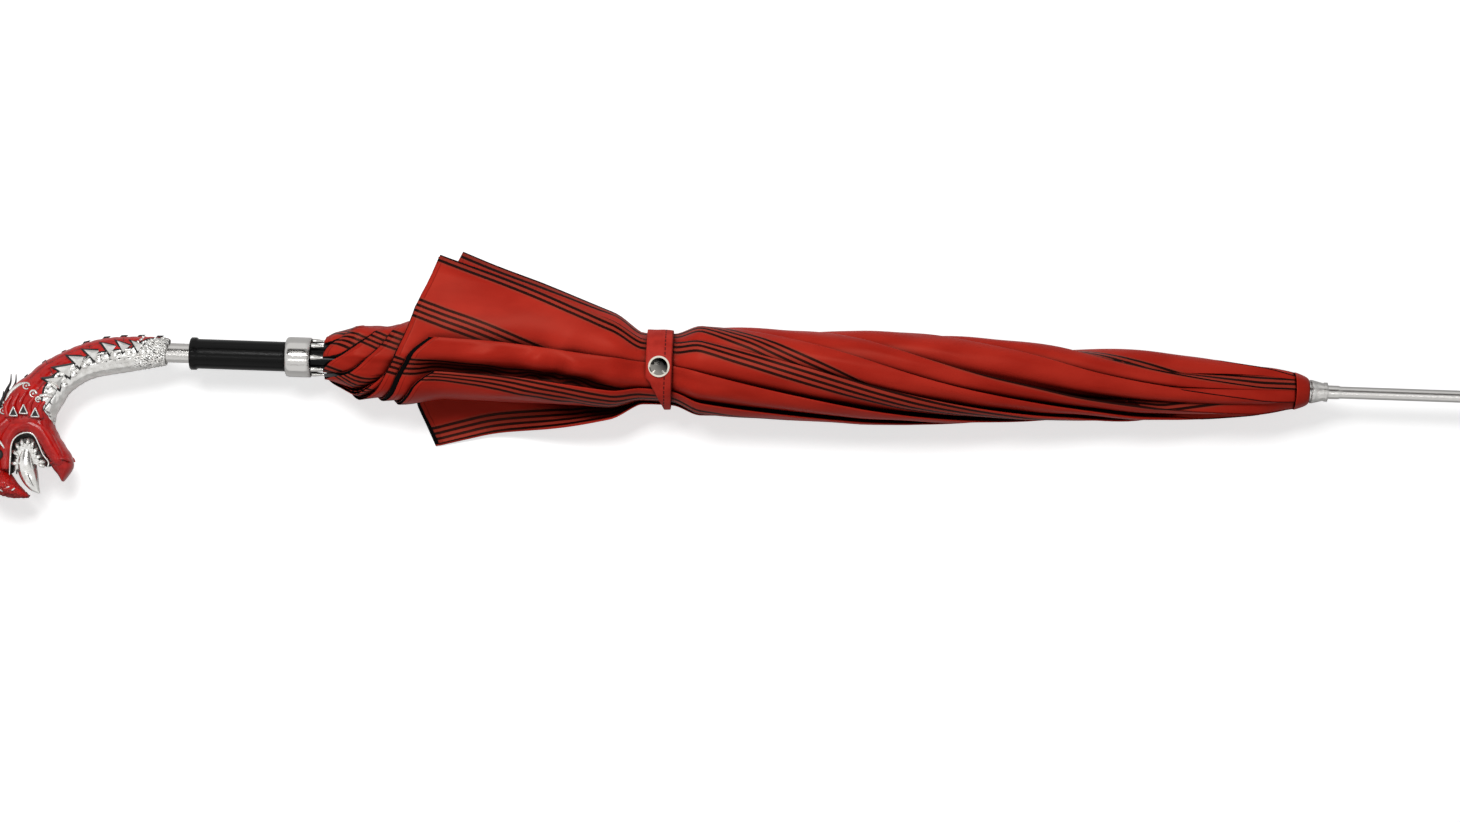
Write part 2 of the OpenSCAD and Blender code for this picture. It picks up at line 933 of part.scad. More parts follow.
at_angle(315) stretcher();  // stretcher_8
gore(7);  // gore_1
gore(0);  // gore_2
gore(1);  // gore_3
gore(2);  // gore_4
gore(3);  // gore_5
gore(4);  // gore_6
gore(5);  // gore_7
gore(6);  // gore_8
strap_band();
strap_tail();
snap_cap();
snap_stud();
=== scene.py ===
"""A furled stick umbrella with a dragon-head crook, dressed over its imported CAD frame."""

import json
import math

import bpy
import numpy as np
from mathutils import Matrix, Vector

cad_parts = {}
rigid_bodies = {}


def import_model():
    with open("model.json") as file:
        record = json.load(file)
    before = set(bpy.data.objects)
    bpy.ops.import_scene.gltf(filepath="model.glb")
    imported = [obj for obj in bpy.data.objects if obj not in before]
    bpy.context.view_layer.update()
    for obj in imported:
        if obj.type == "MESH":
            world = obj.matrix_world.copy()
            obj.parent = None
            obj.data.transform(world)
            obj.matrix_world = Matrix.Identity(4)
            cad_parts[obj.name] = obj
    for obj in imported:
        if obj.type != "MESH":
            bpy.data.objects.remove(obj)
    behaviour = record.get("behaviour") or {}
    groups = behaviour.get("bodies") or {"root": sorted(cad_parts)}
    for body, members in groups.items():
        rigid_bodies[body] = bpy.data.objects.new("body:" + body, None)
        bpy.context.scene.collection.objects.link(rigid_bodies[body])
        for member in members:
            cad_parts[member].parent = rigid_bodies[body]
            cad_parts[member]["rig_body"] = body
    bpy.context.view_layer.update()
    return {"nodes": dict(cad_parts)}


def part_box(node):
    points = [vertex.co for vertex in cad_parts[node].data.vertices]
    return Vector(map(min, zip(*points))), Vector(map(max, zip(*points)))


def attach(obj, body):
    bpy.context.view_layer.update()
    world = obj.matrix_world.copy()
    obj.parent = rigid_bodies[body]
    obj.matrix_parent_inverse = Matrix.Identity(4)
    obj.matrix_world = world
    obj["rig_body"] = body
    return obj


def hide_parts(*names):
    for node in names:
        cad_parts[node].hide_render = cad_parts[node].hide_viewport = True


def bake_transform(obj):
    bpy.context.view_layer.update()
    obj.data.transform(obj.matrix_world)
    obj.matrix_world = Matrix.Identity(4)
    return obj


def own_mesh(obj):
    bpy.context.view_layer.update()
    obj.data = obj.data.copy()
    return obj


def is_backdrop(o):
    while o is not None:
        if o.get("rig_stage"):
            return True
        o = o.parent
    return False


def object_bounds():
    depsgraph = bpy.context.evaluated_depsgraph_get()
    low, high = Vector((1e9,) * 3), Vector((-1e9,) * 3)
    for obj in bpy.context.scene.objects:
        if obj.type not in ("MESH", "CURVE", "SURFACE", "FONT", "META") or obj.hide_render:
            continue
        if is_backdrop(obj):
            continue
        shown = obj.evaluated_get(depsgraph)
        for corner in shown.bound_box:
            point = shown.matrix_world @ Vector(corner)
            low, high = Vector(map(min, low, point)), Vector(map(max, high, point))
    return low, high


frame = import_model()
scene = bpy.context.scene
MM = 0.001
SNAP_AT = [(low + high) / 2 for low, high in zip(*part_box("snap_cap"))]

# The picture: how far it is turned, its middle over the floor, its width, and the
# camera's height
PICTURE_TILT = math.radians(1.95)
PICTURE_CENTRE = (-0.3739, -0.0241)
PICTURE_WIDTH = 0.898
CAMERA_HEIGHT = 2.0


# ---------- helpers ----------


def between(v, a, b):
    """How far v is from a to b, kept from 0 to 1."""
    return np.clip((np.asarray(v, float) - a) / (b - a), 0, 1)


def ease(v, a, b):
    """A smooth step from 0 to 1 as v goes from a to b."""
    t = between(v, a, b)
    return t * t * (3 - 2 * t)


def mix(a, b, t):
    """From a to b, t of the way."""
    return a + (b - a) * t


def new_mesh(name, points, faces, smooth=True):
    """A mesh object from points in metres."""
    mesh = bpy.data.meshes.new(name)
    mesh.from_pydata([tuple(p) for p in points], [], [tuple(f) for f in faces])
    mesh.update()
    mesh.polygons.foreach_set("use_smooth", [smooth] * len(mesh.polygons))
    obj = bpy.data.objects.new(name, mesh)
    scene.collection.objects.link(obj)
    return obj


def grid_faces(rows, cols, closed=False):
    """Quads of a grid of rows x cols points, closed across the columns or not."""
    faces = []
    for i in range(rows - 1):
        for k in range(cols if closed else cols - 1):
            a, b = i * cols + k, i * cols + (k + 1) % cols
            faces.append((a, b, b + cols, a + cols))
    return faces


def tube_faces(rows, cols):
    """Quads of rows closed across their columns, and a face over each end."""
    ends = [tuple(range(cols))[::-1], tuple(range((rows - 1) * cols, rows * cols))]
    return grid_faces(rows, cols, closed=True) + ends


def cloth_mesh(name, points, cloth, cols, looks):
    """A sheet from rows of cols points, its UV map "cloth" from a pair for each point."""
    obj = new_mesh(name, points, [f[::-1] for f in grid_faces(len(points) // cols, cols)])
    corner = np.zeros(len(obj.data.loops), int)
    obj.data.loops.foreach_get("vertex_index", corner)
    obj.data.uv_layers.new(name="cloth").data.foreach_set("uv", cloth[corner].ravel())
    for look in looks:
        obj.data.materials.append(look.mat)
    return obj


def unit(v):
    """Vectors made one long."""
    return v / np.linalg.norm(v, axis=-1, keepdims=True)


def round_axis(x, r, a):
    """Points in metres at angles a, in radians, round the shaft's axis."""
    return np.stack([x, r * np.cos(a), r * np.sin(a)], -1).reshape(-1, 3) * MM


def solidify(obj, thick, inner_slot=0, offset=-1.0):
    """Gives a sheet its thickness, with another material slot on its inside."""
    mod = obj.modifiers.new("thickness", "SOLIDIFY")
    mod.thickness = thick
    mod.offset = offset
    mod.material_offset = inner_slot
    mod.use_even_offset = False


# ---------- materials ----------


def linear(r, g, b):
    """A colour given as display values from 0 to 255."""
    def one(c):
        c = c / 255
        return c / 12.92 if c <= 0.04045 else ((c + 0.055) / 1.055) ** 2.4
    return (one(r), one(g), one(b), 1.0)


class Shader:
    """A material's node tree, with short ways to add maths to it."""

    def __init__(self, name, colour, rough, metal=0.0):
        self.mat = bpy.data.materials.new(name)
        self.mat.use_nodes = True
        self.tree = self.mat.node_tree
        self.bsdf = next(n for n in self.tree.nodes if n.type == "BSDF_PRINCIPLED")
        self.set("Base Color", colour)
        self.set("Roughness", rough)
        self.set("Metallic", metal)

    def node(self, kind, sockets=(), **values):
        """A new node, with its sockets' values or links by name and its own settings."""
        n = self.tree.nodes.new(kind)
        for key, value in values.items():
            setattr(n, key, value)
        for name, value in dict(sockets).items():
            self.plug(n.inputs[name], value)
        return n

    def plug(self, socket, value):
        if isinstance(value, bpy.types.NodeSocket):
            self.tree.links.new(value, socket)
        else:
            socket.default_value = value

    def math(self, op, a, b=0.0):
        n = self.node("ShaderNodeMath", operation=op)
        for socket, value in zip(n.inputs, (a, b)):
            self.plug(socket, value)
        return n.outputs[0]

    def split(self, vector):
        """The first two parts of a vector."""
        n = self.node("ShaderNodeSeparateXYZ")
        self.tree.links.new(vector, n.inputs[0])
        return n.outputs[0], n.outputs[1]

    def cloth(self):
        """Distances across and down the cloth, from its UV map."""
        return self.split(self.node("ShaderNodeUVMap", uv_map="cloth").outputs[0])

    def ramp(self, value, low, high, out_low=0.0, out_high=1.0):
        """A smooth step from out_low to out_high as value goes from low to high."""
        sockets = {"Value": value, "From Min": low, "From Max": high,
                   "To Min": out_low, "To Max": out_high}
        n = self.node("ShaderNodeMapRange", sockets, interpolation_type="SMOOTHSTEP")
        return n.outputs["Result"]

    def mix(self, factor, a, b):
        n = self.node("ShaderNodeMix", data_type="RGBA")
        self.plug(n.inputs["Factor"], factor)
        colours = [s for s in n.inputs if s.type == "RGBA"]
        self.plug(colours[0], a)
        self.plug(colours[1], b)
        return next(s for s in n.outputs if s.type == "RGBA")

    def noise(self, scale, detail=3.0, stretch=(1, 1, 1)):
        """Noise in the object's own coordinates, stretched along an axis."""
        place = self.node("ShaderNodeTexCoord").outputs["Object"]
        place = self.node("ShaderNodeMapping", {"Vector": place, "Scale": stretch}).outputs[0]
        sockets = {"Vector": place, "Scale": scale, "Detail": detail}
        return self.node("ShaderNodeTexNoise", sockets).outputs[0]

    def bump(self, height, distance, strength):
        """Small relief that only the shading shows."""
        sockets = {"Height": height, "Distance": distance, "Strength": strength}
        self.set("Normal", self.node("ShaderNodeBump", sockets).outputs[0])

    def set(self, name, value):
        self.plug(self.bsdf.inputs[name], value)


METAL_WEAR = 0.1


def metal(name, colour, rough):
    """Polished metal with slightly uneven roughness."""
    m = Shader(name, colour, rough, 1.0)
    patch = m.noise(90, 4, (0.3, 1, 1))
    low, high = rough * (1 - METAL_WEAR), rough * (1 + METAL_WEAR)
    m.set("Roughness", m.ramp(patch, 0.3, 0.7, low, high))
    return m


TURNED_ROUNDING = 4.0 * MM


def turned(m):
    """Rounds the shading of a turned part over its facets."""
    bevel = m.node("ShaderNodeBevel", {"Radius": TURNED_ROUNDING}, samples=8)
    m.set("Normal", bevel.outputs[0])
    return m


chrome = turned(metal("chrome", linear(205, 203, 200), 0.09))
rib_steel = metal("rib_steel", linear(72, 71, 72), 0.3)
steel = metal("steel", linear(150, 148, 146), 0.22)
silver = metal("silver_trim", linear(196, 194, 190), 0.2)
grip = Shader("black_grip", linear(6, 6, 6), 0.16)
grip.set("Specular IOR Level", 0.14)
turned(grip)
lining = Shader("lining", linear(7, 6, 6), 0.8)
lining.set("Specular IOR Level", 0.05)

# The strap's stitches: how far in from its edge, their pitch and their length
STITCH_IN = 4.6 * MM
STITCH_PITCH = 3 * MM
STITCH_LONG = 2.1 * MM


def strap_material():
    """Plain red cloth with a row of dark stitches near one edge."""
    m = Shader("strap_cloth", linear(196, 54, 40), 0.6)
    across, along = m.cloth()
    off = m.math("ABSOLUTE", m.math("SUBTRACT", across, STITCH_IN))
    line = m.ramp(off, 0.2 * MM, 0.5 * MM, 1.0, 0.0)
    dash = m.math("LESS_THAN", m.math("FLOORED_MODULO", along, STITCH_PITCH), STITCH_LONG)
    rim = m.ramp(across, 0.4 * MM, 1.0 * MM, 0.55, 0.0)
    mark = m.math("MAXIMUM", m.math("MULTIPLY", line, dash), rim)
    shade = m.noise(160, 3)
    red = m.mix(m.ramp(shade, 0.3, 0.7), linear(172, 38, 27), linear(190, 48, 36))
    m.set("Base Color", m.mix(mark, red, linear(70, 8, 8)))
    m.set("Specular IOR Level", 0.15)
    return m


def snap_material():
    """A bright ring round a dark dome, by the distance from the press stud's middle, with painted
    shading across the dome.
    """
    m = Shader("snap", linear(215, 213, 208), 0.1, 1.0)
    x, y = m.split(m.node("ShaderNodeTexCoord").outputs["Object"])
    dx = m.math("SUBTRACT", x, SNAP_AT[0])
    dy = m.math("SUBTRACT", y, SNAP_AT[1])
    square = m.math("ADD", m.math("MULTIPLY", dx, dx), m.math("MULTIPLY", dy, dy))
    dome = m.ramp(m.math("SQRT", square), 5.2 * MM, 5.5 * MM, 1.0, 0.0)
    # Painted shading: the dome goes from mid grey at its lower left to dark at its upper right.
    shade = m.ramp(m.math("ADD", dx, dy), -6 * MM, 6 * MM)
    dome_painted_shading = m.mix(shade, linear(140, 136, 130), linear(30, 30, 32))
    m.set("Base Color", m.mix(dome, linear(232, 226, 212), dome_painted_shading))
    return m


strap_cloth = strap_material()
snap_chrome = snap_material()

# The canopy's lines: from one to the next, half a line's width, from one group of them
# to the next and how many a group has, then how far the hem's seam lies from the hem
STRIPE_PITCH = 3.6 * MM
STRIPE_HALF = 0.88 * MM
GROUP_PITCH = 39 * MM
GROUP_LINES = 4
HEM_SEAM = 2.6 * MM
# How far around a point the painted crease shade looks for nearby cloth
CREASE_SHADE_REACH = 17 * MM


def canopy_material():
    """Red cloth with groups of four black lines along the gore, a stitched hem and painted shade
    in its creases.
    """
    m = Shader("canopy_cloth", linear(196, 52, 40), 0.55)
    across, down = m.cloth()
    half_group = STRIPE_PITCH * GROUP_LINES / 2
    in_group = m.math("FLOORED_MODULO", m.math("ADD", across, half_group), GROUP_PITCH)
    in_line = m.math("FLOORED_MODULO", in_group, STRIPE_PITCH)
    off = m.math("ABSOLUTE", m.math("SUBTRACT", in_line, STRIPE_PITCH / 2))
    line = m.ramp(off, STRIPE_HALF * 0.75, STRIPE_HALF * 1.25, 1.0, 0.0)
    group = m.math("LESS_THAN", in_group, STRIPE_PITCH * GROUP_LINES)
    stripe = m.math("MULTIPLY", line, group)
    shade = m.noise(55, 3, (0.4, 1, 1))
    red = m.mix(m.ramp(shade, 0.3, 0.7), linear(170, 36, 25), linear(188, 47, 34))
    seam = m.math("ABSOLUTE", m.math("SUBTRACT", down, HEM_SEAM))
    stitch = m.ramp(seam, 0.15 * MM, 0.45 * MM, 0.55, 0.0)
    red = m.mix(stitch, red, linear(110, 18, 12))
    red = m.mix(m.math("MULTIPLY", group, 0.55), red, linear(150, 62, 48))
    # Painted shade: creases are darkened beyond what the soft light leaves in them.
    painted_crease_shade = m.node("ShaderNodeAmbientOcclusion", {"Distance": CREASE_SHADE_REACH}, samples=8)
    clear_of_painted_shade = m.ramp(painted_crease_shade.outputs["AO"], 0.26, 0.9)
    red = m.mix(clear_of_painted_shade, linear(48, 5, 4), red)
    m.set("Base Color", m.mix(stripe, red, linear(20, 4, 4)))
    m.set("Roughness", m.ramp(shade, 0.2, 0.8, 0.36, 0.46))
    m.set("Specular IOR Level", 0.16)
    m.set("Specular Tint", (1.0, 0.34, 0.24, 1))
    m.set("Anisotropic", 0.4)
    m.bump(m.noise(2600, 2), 0.06 * MM, 0.5)
    return m


canopy_cloth = canopy_material()


# ---------- furled canopy ----------
# Millimetres and degrees: s runs back along the shaft from the ferrule's shoulder, w is
# how far a pleat has wound round the bundle from its rib to its fold, and an angle is
# measured from the picture's up towards the camera. Lists have one value for each pleat.

PLEATS = 8
SECTOR = 45
HEM = -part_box("rib_1")[0].x / MM
STRAP = -SNAP_AT[0] / MM
NOTCH = 26.0
PIVOT_R = 8.0
OPEN_ANGLE = 65.0
# Radius of the cloth next to the shaft, of the loose bundle and under the strap
CLOTH_INSIDE = 12.1
BUNDLE_R = 27.6
CINCH_R = 22.0
# Where pleat 0's fold is at the strap, how far it winds from its rib there, and how
# many degrees a millimetre it turns on the ferrule's side and on the hem's side
FOLD_AT = 216
WRAP = 234.0
TWIST = 0.53
HEM_TWIST = 0.045
# The crown's first and last distance from the shoulder, and its outer radius
CROWN = (18.9, 27.0)
CROWN_R = 11.3
CORNER_SET = 69.0
CORNER = HEM - CORNER_SET
CLOTH_THICK = 0.3
FOLD_R = 0.55
# How far the cloth stands out at the gathered hem and on each pleat's outside
GATHER_PUFF = 5.0
PLEAT_PUFF = 1.8
# How far the cloth sinks under each flap
FLAP_SINK = [1, 1, 1, 1, 1, 2, 8, 6]
# How many degrees each fold turns past its even place, in the middle, at the tip and
# at the flap's corner
MID_SHIFT = [26, 23, 32, 16, -2, -12, -30, -16]
TIP_SHIFT = [34, 22, 24, 18, 14, 14, 14, 18]
CORNER_SHIFT = [58, 45, 28, 12, -23, -12, -16, 43]
# Each flap's corner: its distance from the shaft's axis and from the shoulder
CORNER_OUT = [28, 28, 28, 76, 68.5, 32, 28, 59]
CORNER_AT = [555, 555, 555, 541.5, 554.5, 555, 554, 556.5]
# How far the inner skin's hem shows beyond the outer one's
HEM_GAP = [0.5, 0.5, 0.5, 0.8, 1.2, 3.4, 1.6, -1.8]
# The hem's way from the rib (0) to the corner (1), against the way across the cloth
HEM_U = [0, 0.1, 0.2, 0.33, 0.5, 0.69, 0.8, 0.95, 1]
HEM_SHARE = [0, 0.02, 0.08, 0.3, 0.5, 0.65, 0.72, 0.85, 1]
# Where a group of lines lies from each fold: distances from the shoulder, and the
# distance across the cloth at each of them
STRIPE_PATH = [
    ((20, 140, 300, 555), (-5.9, -4.9, -9, 6)),
    ((60, 200, 400, 555), (19.5, 30, 30, 25)),
    ((20, 60, 110, 215, 330, 400, 555), (-19.5, -15, -4.9, -4.9, -9, -9, 11)),
    ((60, 120, 230, 452), (19.5, 30, 30, -0.5)),
    ((20, 60, 200, 555), (19.5, 17, 8, -0.6)),
    ((20, 60, 555), (19.5, 30, 26.5)),
    ((20, 60, 300, 555), (19.5, 22, 17, 4.2)),
    ((20, 60, 140, 300, 555), (-19.5, -16, -10, -9, -7.2)),
]


def cloth_low(s):
    """Radius of the cloth on the ribs."""
    return np.interp(s, (19, 22.5, 27, 28, 48), (7.2, 9.2, 9.8, 9.8, CLOTH_INSIDE))


def cinch(s):
    """How much the strap holds the bundle together, from 0 to 1."""
    tip_side = ease(s, STRAP - 26, STRAP - 8)
    return tip_side * (1 - ease(s, STRAP + 10, STRAP + 30))


def bundle(s):
    """The bundle's outer radius."""
    roll = 11 + (BUNDLE_R - 10.7) * between(s, NOTCH, 300) ** 0.58
    loose = np.minimum(roll, BUNDLE_R) - 2 * between(s, STRAP + 22, CORNER + 5)
    gather = ease(s, CORNER - 8, CORNER + 18) * (1 - between(s, 602, 620))
    loose = loose + GATHER_PUFF * gather
    loose = loose + 1.1 * np.exp(-((s - 42) / 20) ** 2)
    rolled = mix(loose, CINCH_R, cinch(s))
    return np.where(s < NOTCH + 1, mix(8.1, 10.9, between(s, 19, 27)), rolled)


def even_edge(s):
    """Where pleat 0's fold is, before its own shift."""
    return np.where(s < STRAP, FOLD_AT + (STRAP - s) * TWIST, FOLD_AT - HEM_TWIST * (s - STRAP))


def wind(s):
    """How far an even pleat winds from its rib to its fold."""
    return FOLD_AT + WRAP - even_edge(s)


def edge_angle(j, s):
    """Where pleat j's fold is, and how far the pleat winds to it."""
    even = even_edge(s)
    middle = ease(s, 50, 170) * (1 - ease(s, 225, STRAP - 8))
    corner = ease(s, STRAP + 8, CORNER - 27)
    tip = 1 - ease(s, 60, 200)
    shift = MID_SHIFT[j] * middle + TIP_SHIFT[j] * tip
    shift = np.minimum(shift, wind(s) - 5) + CORNER_SHIFT[j] * corner
    return SECTOR * j + even + shift, wind(s) - shift


def flare_angle(j, s, fold_r):
    """How far a pleat's last part stands off the bundle, as the angle of its flat flap."""
    out = mix(fold_r, np.maximum(CORNER_OUT[j], fold_r), between(s, STRAP + 10, CORNER))
    return np.degrees(np.arccos(np.clip(fold_r / out, 0.3, 1)))


def hem_s(u, corner):
    """Where the hem is, u of the way from the ribs to a fold whose corner is given."""
    share = sum(np.interp(u + d, HEM_U, HEM_SHARE) for d in (-0.03, 0, 0.03)) / 3
    share = np.where(u > 0.97, np.interp(u, HEM_U, HEM_SHARE), share)
    return HEM - (HEM - corner) * share


def lean(s, a):
    """How far the roll's outside stands out of round, up and down in the picture."""
    above = np.interp(s, (22, 40, 120, 170, 250, 300, 335), (0.8, 2.0, 2.8, 4.6, 4.4, 1.6, 0))
    below = np.interp(s, (22, 30, 48, 75, 100, 125, 150, 165),
                      (1.8, 5.2, 6.4, 6.0, 5.2, 4.0, 1.0, 0))
    upward = np.cos(np.radians(a))
    return above * np.maximum(upward, 0) ** 1.4 + below * np.maximum(-upward, 0) ** 1.4


def spiral(s, w):
    """Radius of a pleat's outer skin, and the room between two pleats."""
    low = cloth_low(s)
    power = mix(1.0, 0.36, between(s, 562, 602))
    wound = np.clip(w / wind(s), 0, None) ** power * (1 - 0.7 * between(s, 606, HEM))
    depth = bundle(s) - low
    return low + depth * wound, depth * SECTOR / np.maximum(wind(s), SECTOR)


# Each of a pleat's two skins hides its slack in one flat tuck: where it lies, as shares
# of the way from rib to fold, and how many degrees it runs to and fro
TUCK_INNER = (0.14, 0.33)
TUCK_OUTER = (0.20, 0.36)
TUCK_SWING = 52.0
# The grid: columns of a skin before, in and past its tuck, columns of the fold, and
# rows of the tip, the roll, the part by the strap and the part below it
ROOT_COLS = 8
TUCK_COLS = 26
FREE_COLS = 34
SKIN_COLS = ROOT_COLS + TUCK_COLS + FREE_COLS
FOLD_COLS = 6
MIDDLE_COL = SKIN_COLS + FOLD_COLS // 2
ROWS = np.concatenate([
    np.linspace(CROWN[1], 48, 9)[:-1], np.arange(48, 380, 5.0), np.arange(380, 442.1, 2.5)])
HEM_ROWS = 35

# Local dents and creases: pleat, distance from the shoulder, distance from the fold,
# height, then half sizes along and across and how far it slants, all in millimetres
DENTS = [
    (5, 492, 7, 3.2, 5, 5, 0.5), (5, 480, 13, -3.4, 7, 4, 0.7), (5, 506, 11, -2.4, 9, 5, -0.4),
    (5, 470, 6, 2.4, 6, 4, -0.5), (5, 525, 8, 1.8, 10, 6, 0.3), (5, 458, 12, -2.0, 7, 5, 0.4),
    (4, 505, 26, -3.4, 14, 9, 0.4), (4, 478, 20, 2.6, 9, 6, 0.6), (4, 530, 34, 2.2, 12, 8, -0.3),
    (4, 465, 30, -2.4, 9, 6, -0.5), (3, 500, 14, -1.6, 12, 6, 0.3),
    (6, 500, 9, 1.2, 12, 5, 0.3), (6, 470, 12, -1.3, 9, 5, -0.3),
    (7, 500, 16, -1.8, 12, 7, 0.3), (7, 475, 10, 1.6, 9, 5, 0.4),
    (4, 375, 12, -1.0, 10, 6, 0.3), (3, 360, 15, 1.0, 9, 6, -0.3), (5, 380, 10, 1.0, 8, 6, 0.2),
]


def wrinkle(j, s, x):
    """How far cloth stands out of its smooth form, x from pleat j's fold."""
    long = 0.4 * np.sin(s / 17 + 1.7 * j + 0.12 * x) * np.sin(x / 7.5 + j)
    fine = 0.22 * np.sin(s / 6.1 - 0.35 * x + 2.1 * j) * np.sin(s / 43 + j)
    near = np.exp(-((np.abs(s - STRAP) - 17) / 13) ** 2)
    pucker = 0.55 * near * np.sin(x / 1.9 + 1.3 * j + 0.02 * s)
    out = (long + fine) * between(s, 60, 160) + pucker
    for pleat, at, off, high, half_s, half_x, slant in DENTS:
        if pleat == j:
            ds = s - at
            dx = x - off - slant * ds
            out = out + high * np.exp(-(ds / half_s) ** 2 - (dx / half_x) ** 2)
    return out * ease(x, -1, 5)


def crevices(j, s, a):
    """How far the cloth under each other pleat's fold sinks, just before that fold."""
    sunk = 0 * s
    for other in range(PLEATS):
        if other != j:
            ahead = (a - edge_angle(other, s)[0] + 180) % 360 - 180
            near = ease(ahead, -24, -3) * (1 - between(ahead, 8, 36))
            roll = 1.1 * between(s, 120, 200) * (1 - ease(s, STRAP - 45, STRAP - 15))
            roll = roll + 2.0 * between(s, 562, 584) * (1 - between(s, 606, 618))
            flap = FLAP_SINK[other] * ease(s, 432, 475) * (1 - between(s, 556, 585))
            sunk = np.maximum(sunk, near * (roll + flap))
    return sunk


def skin_columns(tuck):
    """Columns of one skin from rib to fold: place, to-and-fro wave and layer of its tuck."""
    start, end = tuck
    u = np.concatenate([
        np.linspace(0, start, ROOT_COLS, endpoint=False),
        np.linspace(start, end, TUCK_COLS, endpoint=False),
        np.linspace(end, 1, FREE_COLS)])
    t = between(u, start, end)
    layer = np.where(u < start, -0.5 * u / start, t - 0.5)
    layer = np.where(u > end, 0.5 * (1 - between(u, end, end + 0.25)), layer)
    return np.array([u, np.sin(2 * np.pi * t), layer])


def gore_grid(j):
    """Points of pleat j from rib to rib over its fold, and their distances s."""
    below = np.linspace(0, 1, HEM_ROWS + 1)[1:]
    inner, outer = skin_columns(TUCK_INNER), skin_columns(TUCK_OUTER)
    fold = np.array([[1.0], [0], [0]]).repeat(FOLD_COLS, 1)
    u, wave, layer = np.concatenate([inner, fold, outer[:, ::-1]], 1)
    # Round the fold from the inner skin to the outer one
    round_fold = np.pad(np.linspace(-90, 90, FOLD_COLS + 2), SKIN_COLS - 1, "edge")
    side, bulge = np.sin(np.radians(round_fold)), np.cos(np.radians(round_fold))
    root = np.where(np.arange(len(u)) < MIDDLE_COL, float(SECTOR), 0.0)
    # The inner skin's hem follows the outer one's, apart from its part by the rib.
    wound = np.where(root > 0, mix(u, 0.19 + 0.81 * u, ease(u, 0, 0.06)), u)
    hem_gap = np.where(root > 0, HEM_GAP[j] * ease(u, 0.2, 0.6), 0)
    hem = hem_s(wound, CORNER_AT[j]) + hem_gap
    s = np.concatenate([
        np.repeat(ROWS[:, None], len(u), 1),
        ROWS[-1] + (hem[None, :] - ROWS[-1]) * below[:, None]])
    edge, reach = edge_angle(j, s)
    swing = TUCK_SWING * ease(s, 90, 230) * (1 - ease(s, 540, 600))
    # No tuck swings past its own fold or rib, or out from under the next pleat.
    outer_room = np.minimum(0.28 * reach - 4, 0.72 * reach - 60)
    swing = np.clip(np.where(root > 0, 0.76 * (reach - SECTOR) - 8, outer_room), 0, swing)
    w = root + (reach - root) * u + swing * wave
    a = edge + reach - w
    # By the ferrule a gore is no wider than the gap it spans, and its fold only a ridge.
    taut = ease(SECTOR - reach, 0, 8)
    ridge = reach * (SECTOR - w) / np.maximum(SECTOR - reach, 1)
    r_out, room = spiral(s, np.where((reach < SECTOR) & (w > reach), ridge, w))
    wide, narrow = np.clip(room, 1.2, 4), np.clip(room * 0.5, 1.1, 1.8)
    gap = mix(wide, narrow, ease(w, SECTOR, 75))
    close = np.abs(reach - w) * np.radians(1) * r_out
    gap = mix(2 * FOLD_R, gap, ease(close, 0, 10)) * (1 - 0.9 * taut)
    # Each pleat's outer skin bulges a little between its fold and the next pleat's.
    bulged = np.sin(np.pi * between(reach - w, 0, 48)) * (side > 0)
    bulged = bulged * between(s, 40, 120) * (1 - 0.75 * cinch(s)) * (1 - between(s, 520, 560))
    r = r_out - gap / 2 + side * gap / 2 + layer * 0.42 * room * (swing / TUCK_SWING) ** 0.6
    r = r + PLEAT_PUFF * bulged
    r = r - crevices(j, s, a)
    low = cloth_low(s)
    r = r + lean(s, a) * np.clip((r - low) / (bundle(s) - low), 0, 1)
    r = np.where((side < 0) & (u <= 0), low, r)
    flare = flare_angle(j, s, spiral(s, reach)[0])
    lift = np.maximum(0, flare - np.maximum(0, reach - w))
    r = r / np.cos(np.radians(lift))
    a = a - np.degrees(bulge * FOLD_R / r)
    y, z = r * np.cos(np.radians(a)), r * np.sin(np.radians(a))
    # Wrinkles push both skins of the last part of a pleat the way its flap faces.
    faced = np.radians(edge + np.minimum(flare, reach - w))
    push = wrinkle(j, s, close) * (1 - ease(close, 45, 62))
    return np.stack([-s, y + push * np.cos(faced), z + push * np.sin(faced)], -1), s


def gore_weight(k, points, s, share):
    """How far each point follows gore k's far rib, so that the open gore spreads evenly."""
    def opened(rib):
        """Where the points are round the gore's sector when they turn with a rib."""
        phi = math.radians(SECTOR * (rib - 1))
        pivot = np.array([-NOTCH, PIVOT_R * math.cos(phi), PIVOT_R * math.sin(phi)])
        axis = Vector((0, math.sin(phi), -math.cos(phi)))
        turn = np.array(Matrix.Rotation(math.radians(OPEN_ANGLE), 3, axis))
        p = (points - pivot) @ turn.T + pivot
        off_middle = np.degrees(np.arctan2(p[..., 2], p[..., 1])) - SECTOR * (k - 0.5)
        return (off_middle + 180) % 360 - 180 + SECTOR / 2

    near, far = opened(k), opened(k + 1)
    even = np.clip((SECTOR * share - near) / np.maximum(far - near, 15), 0, 1)
    return mix(share, even, ease(s, 70, 150))


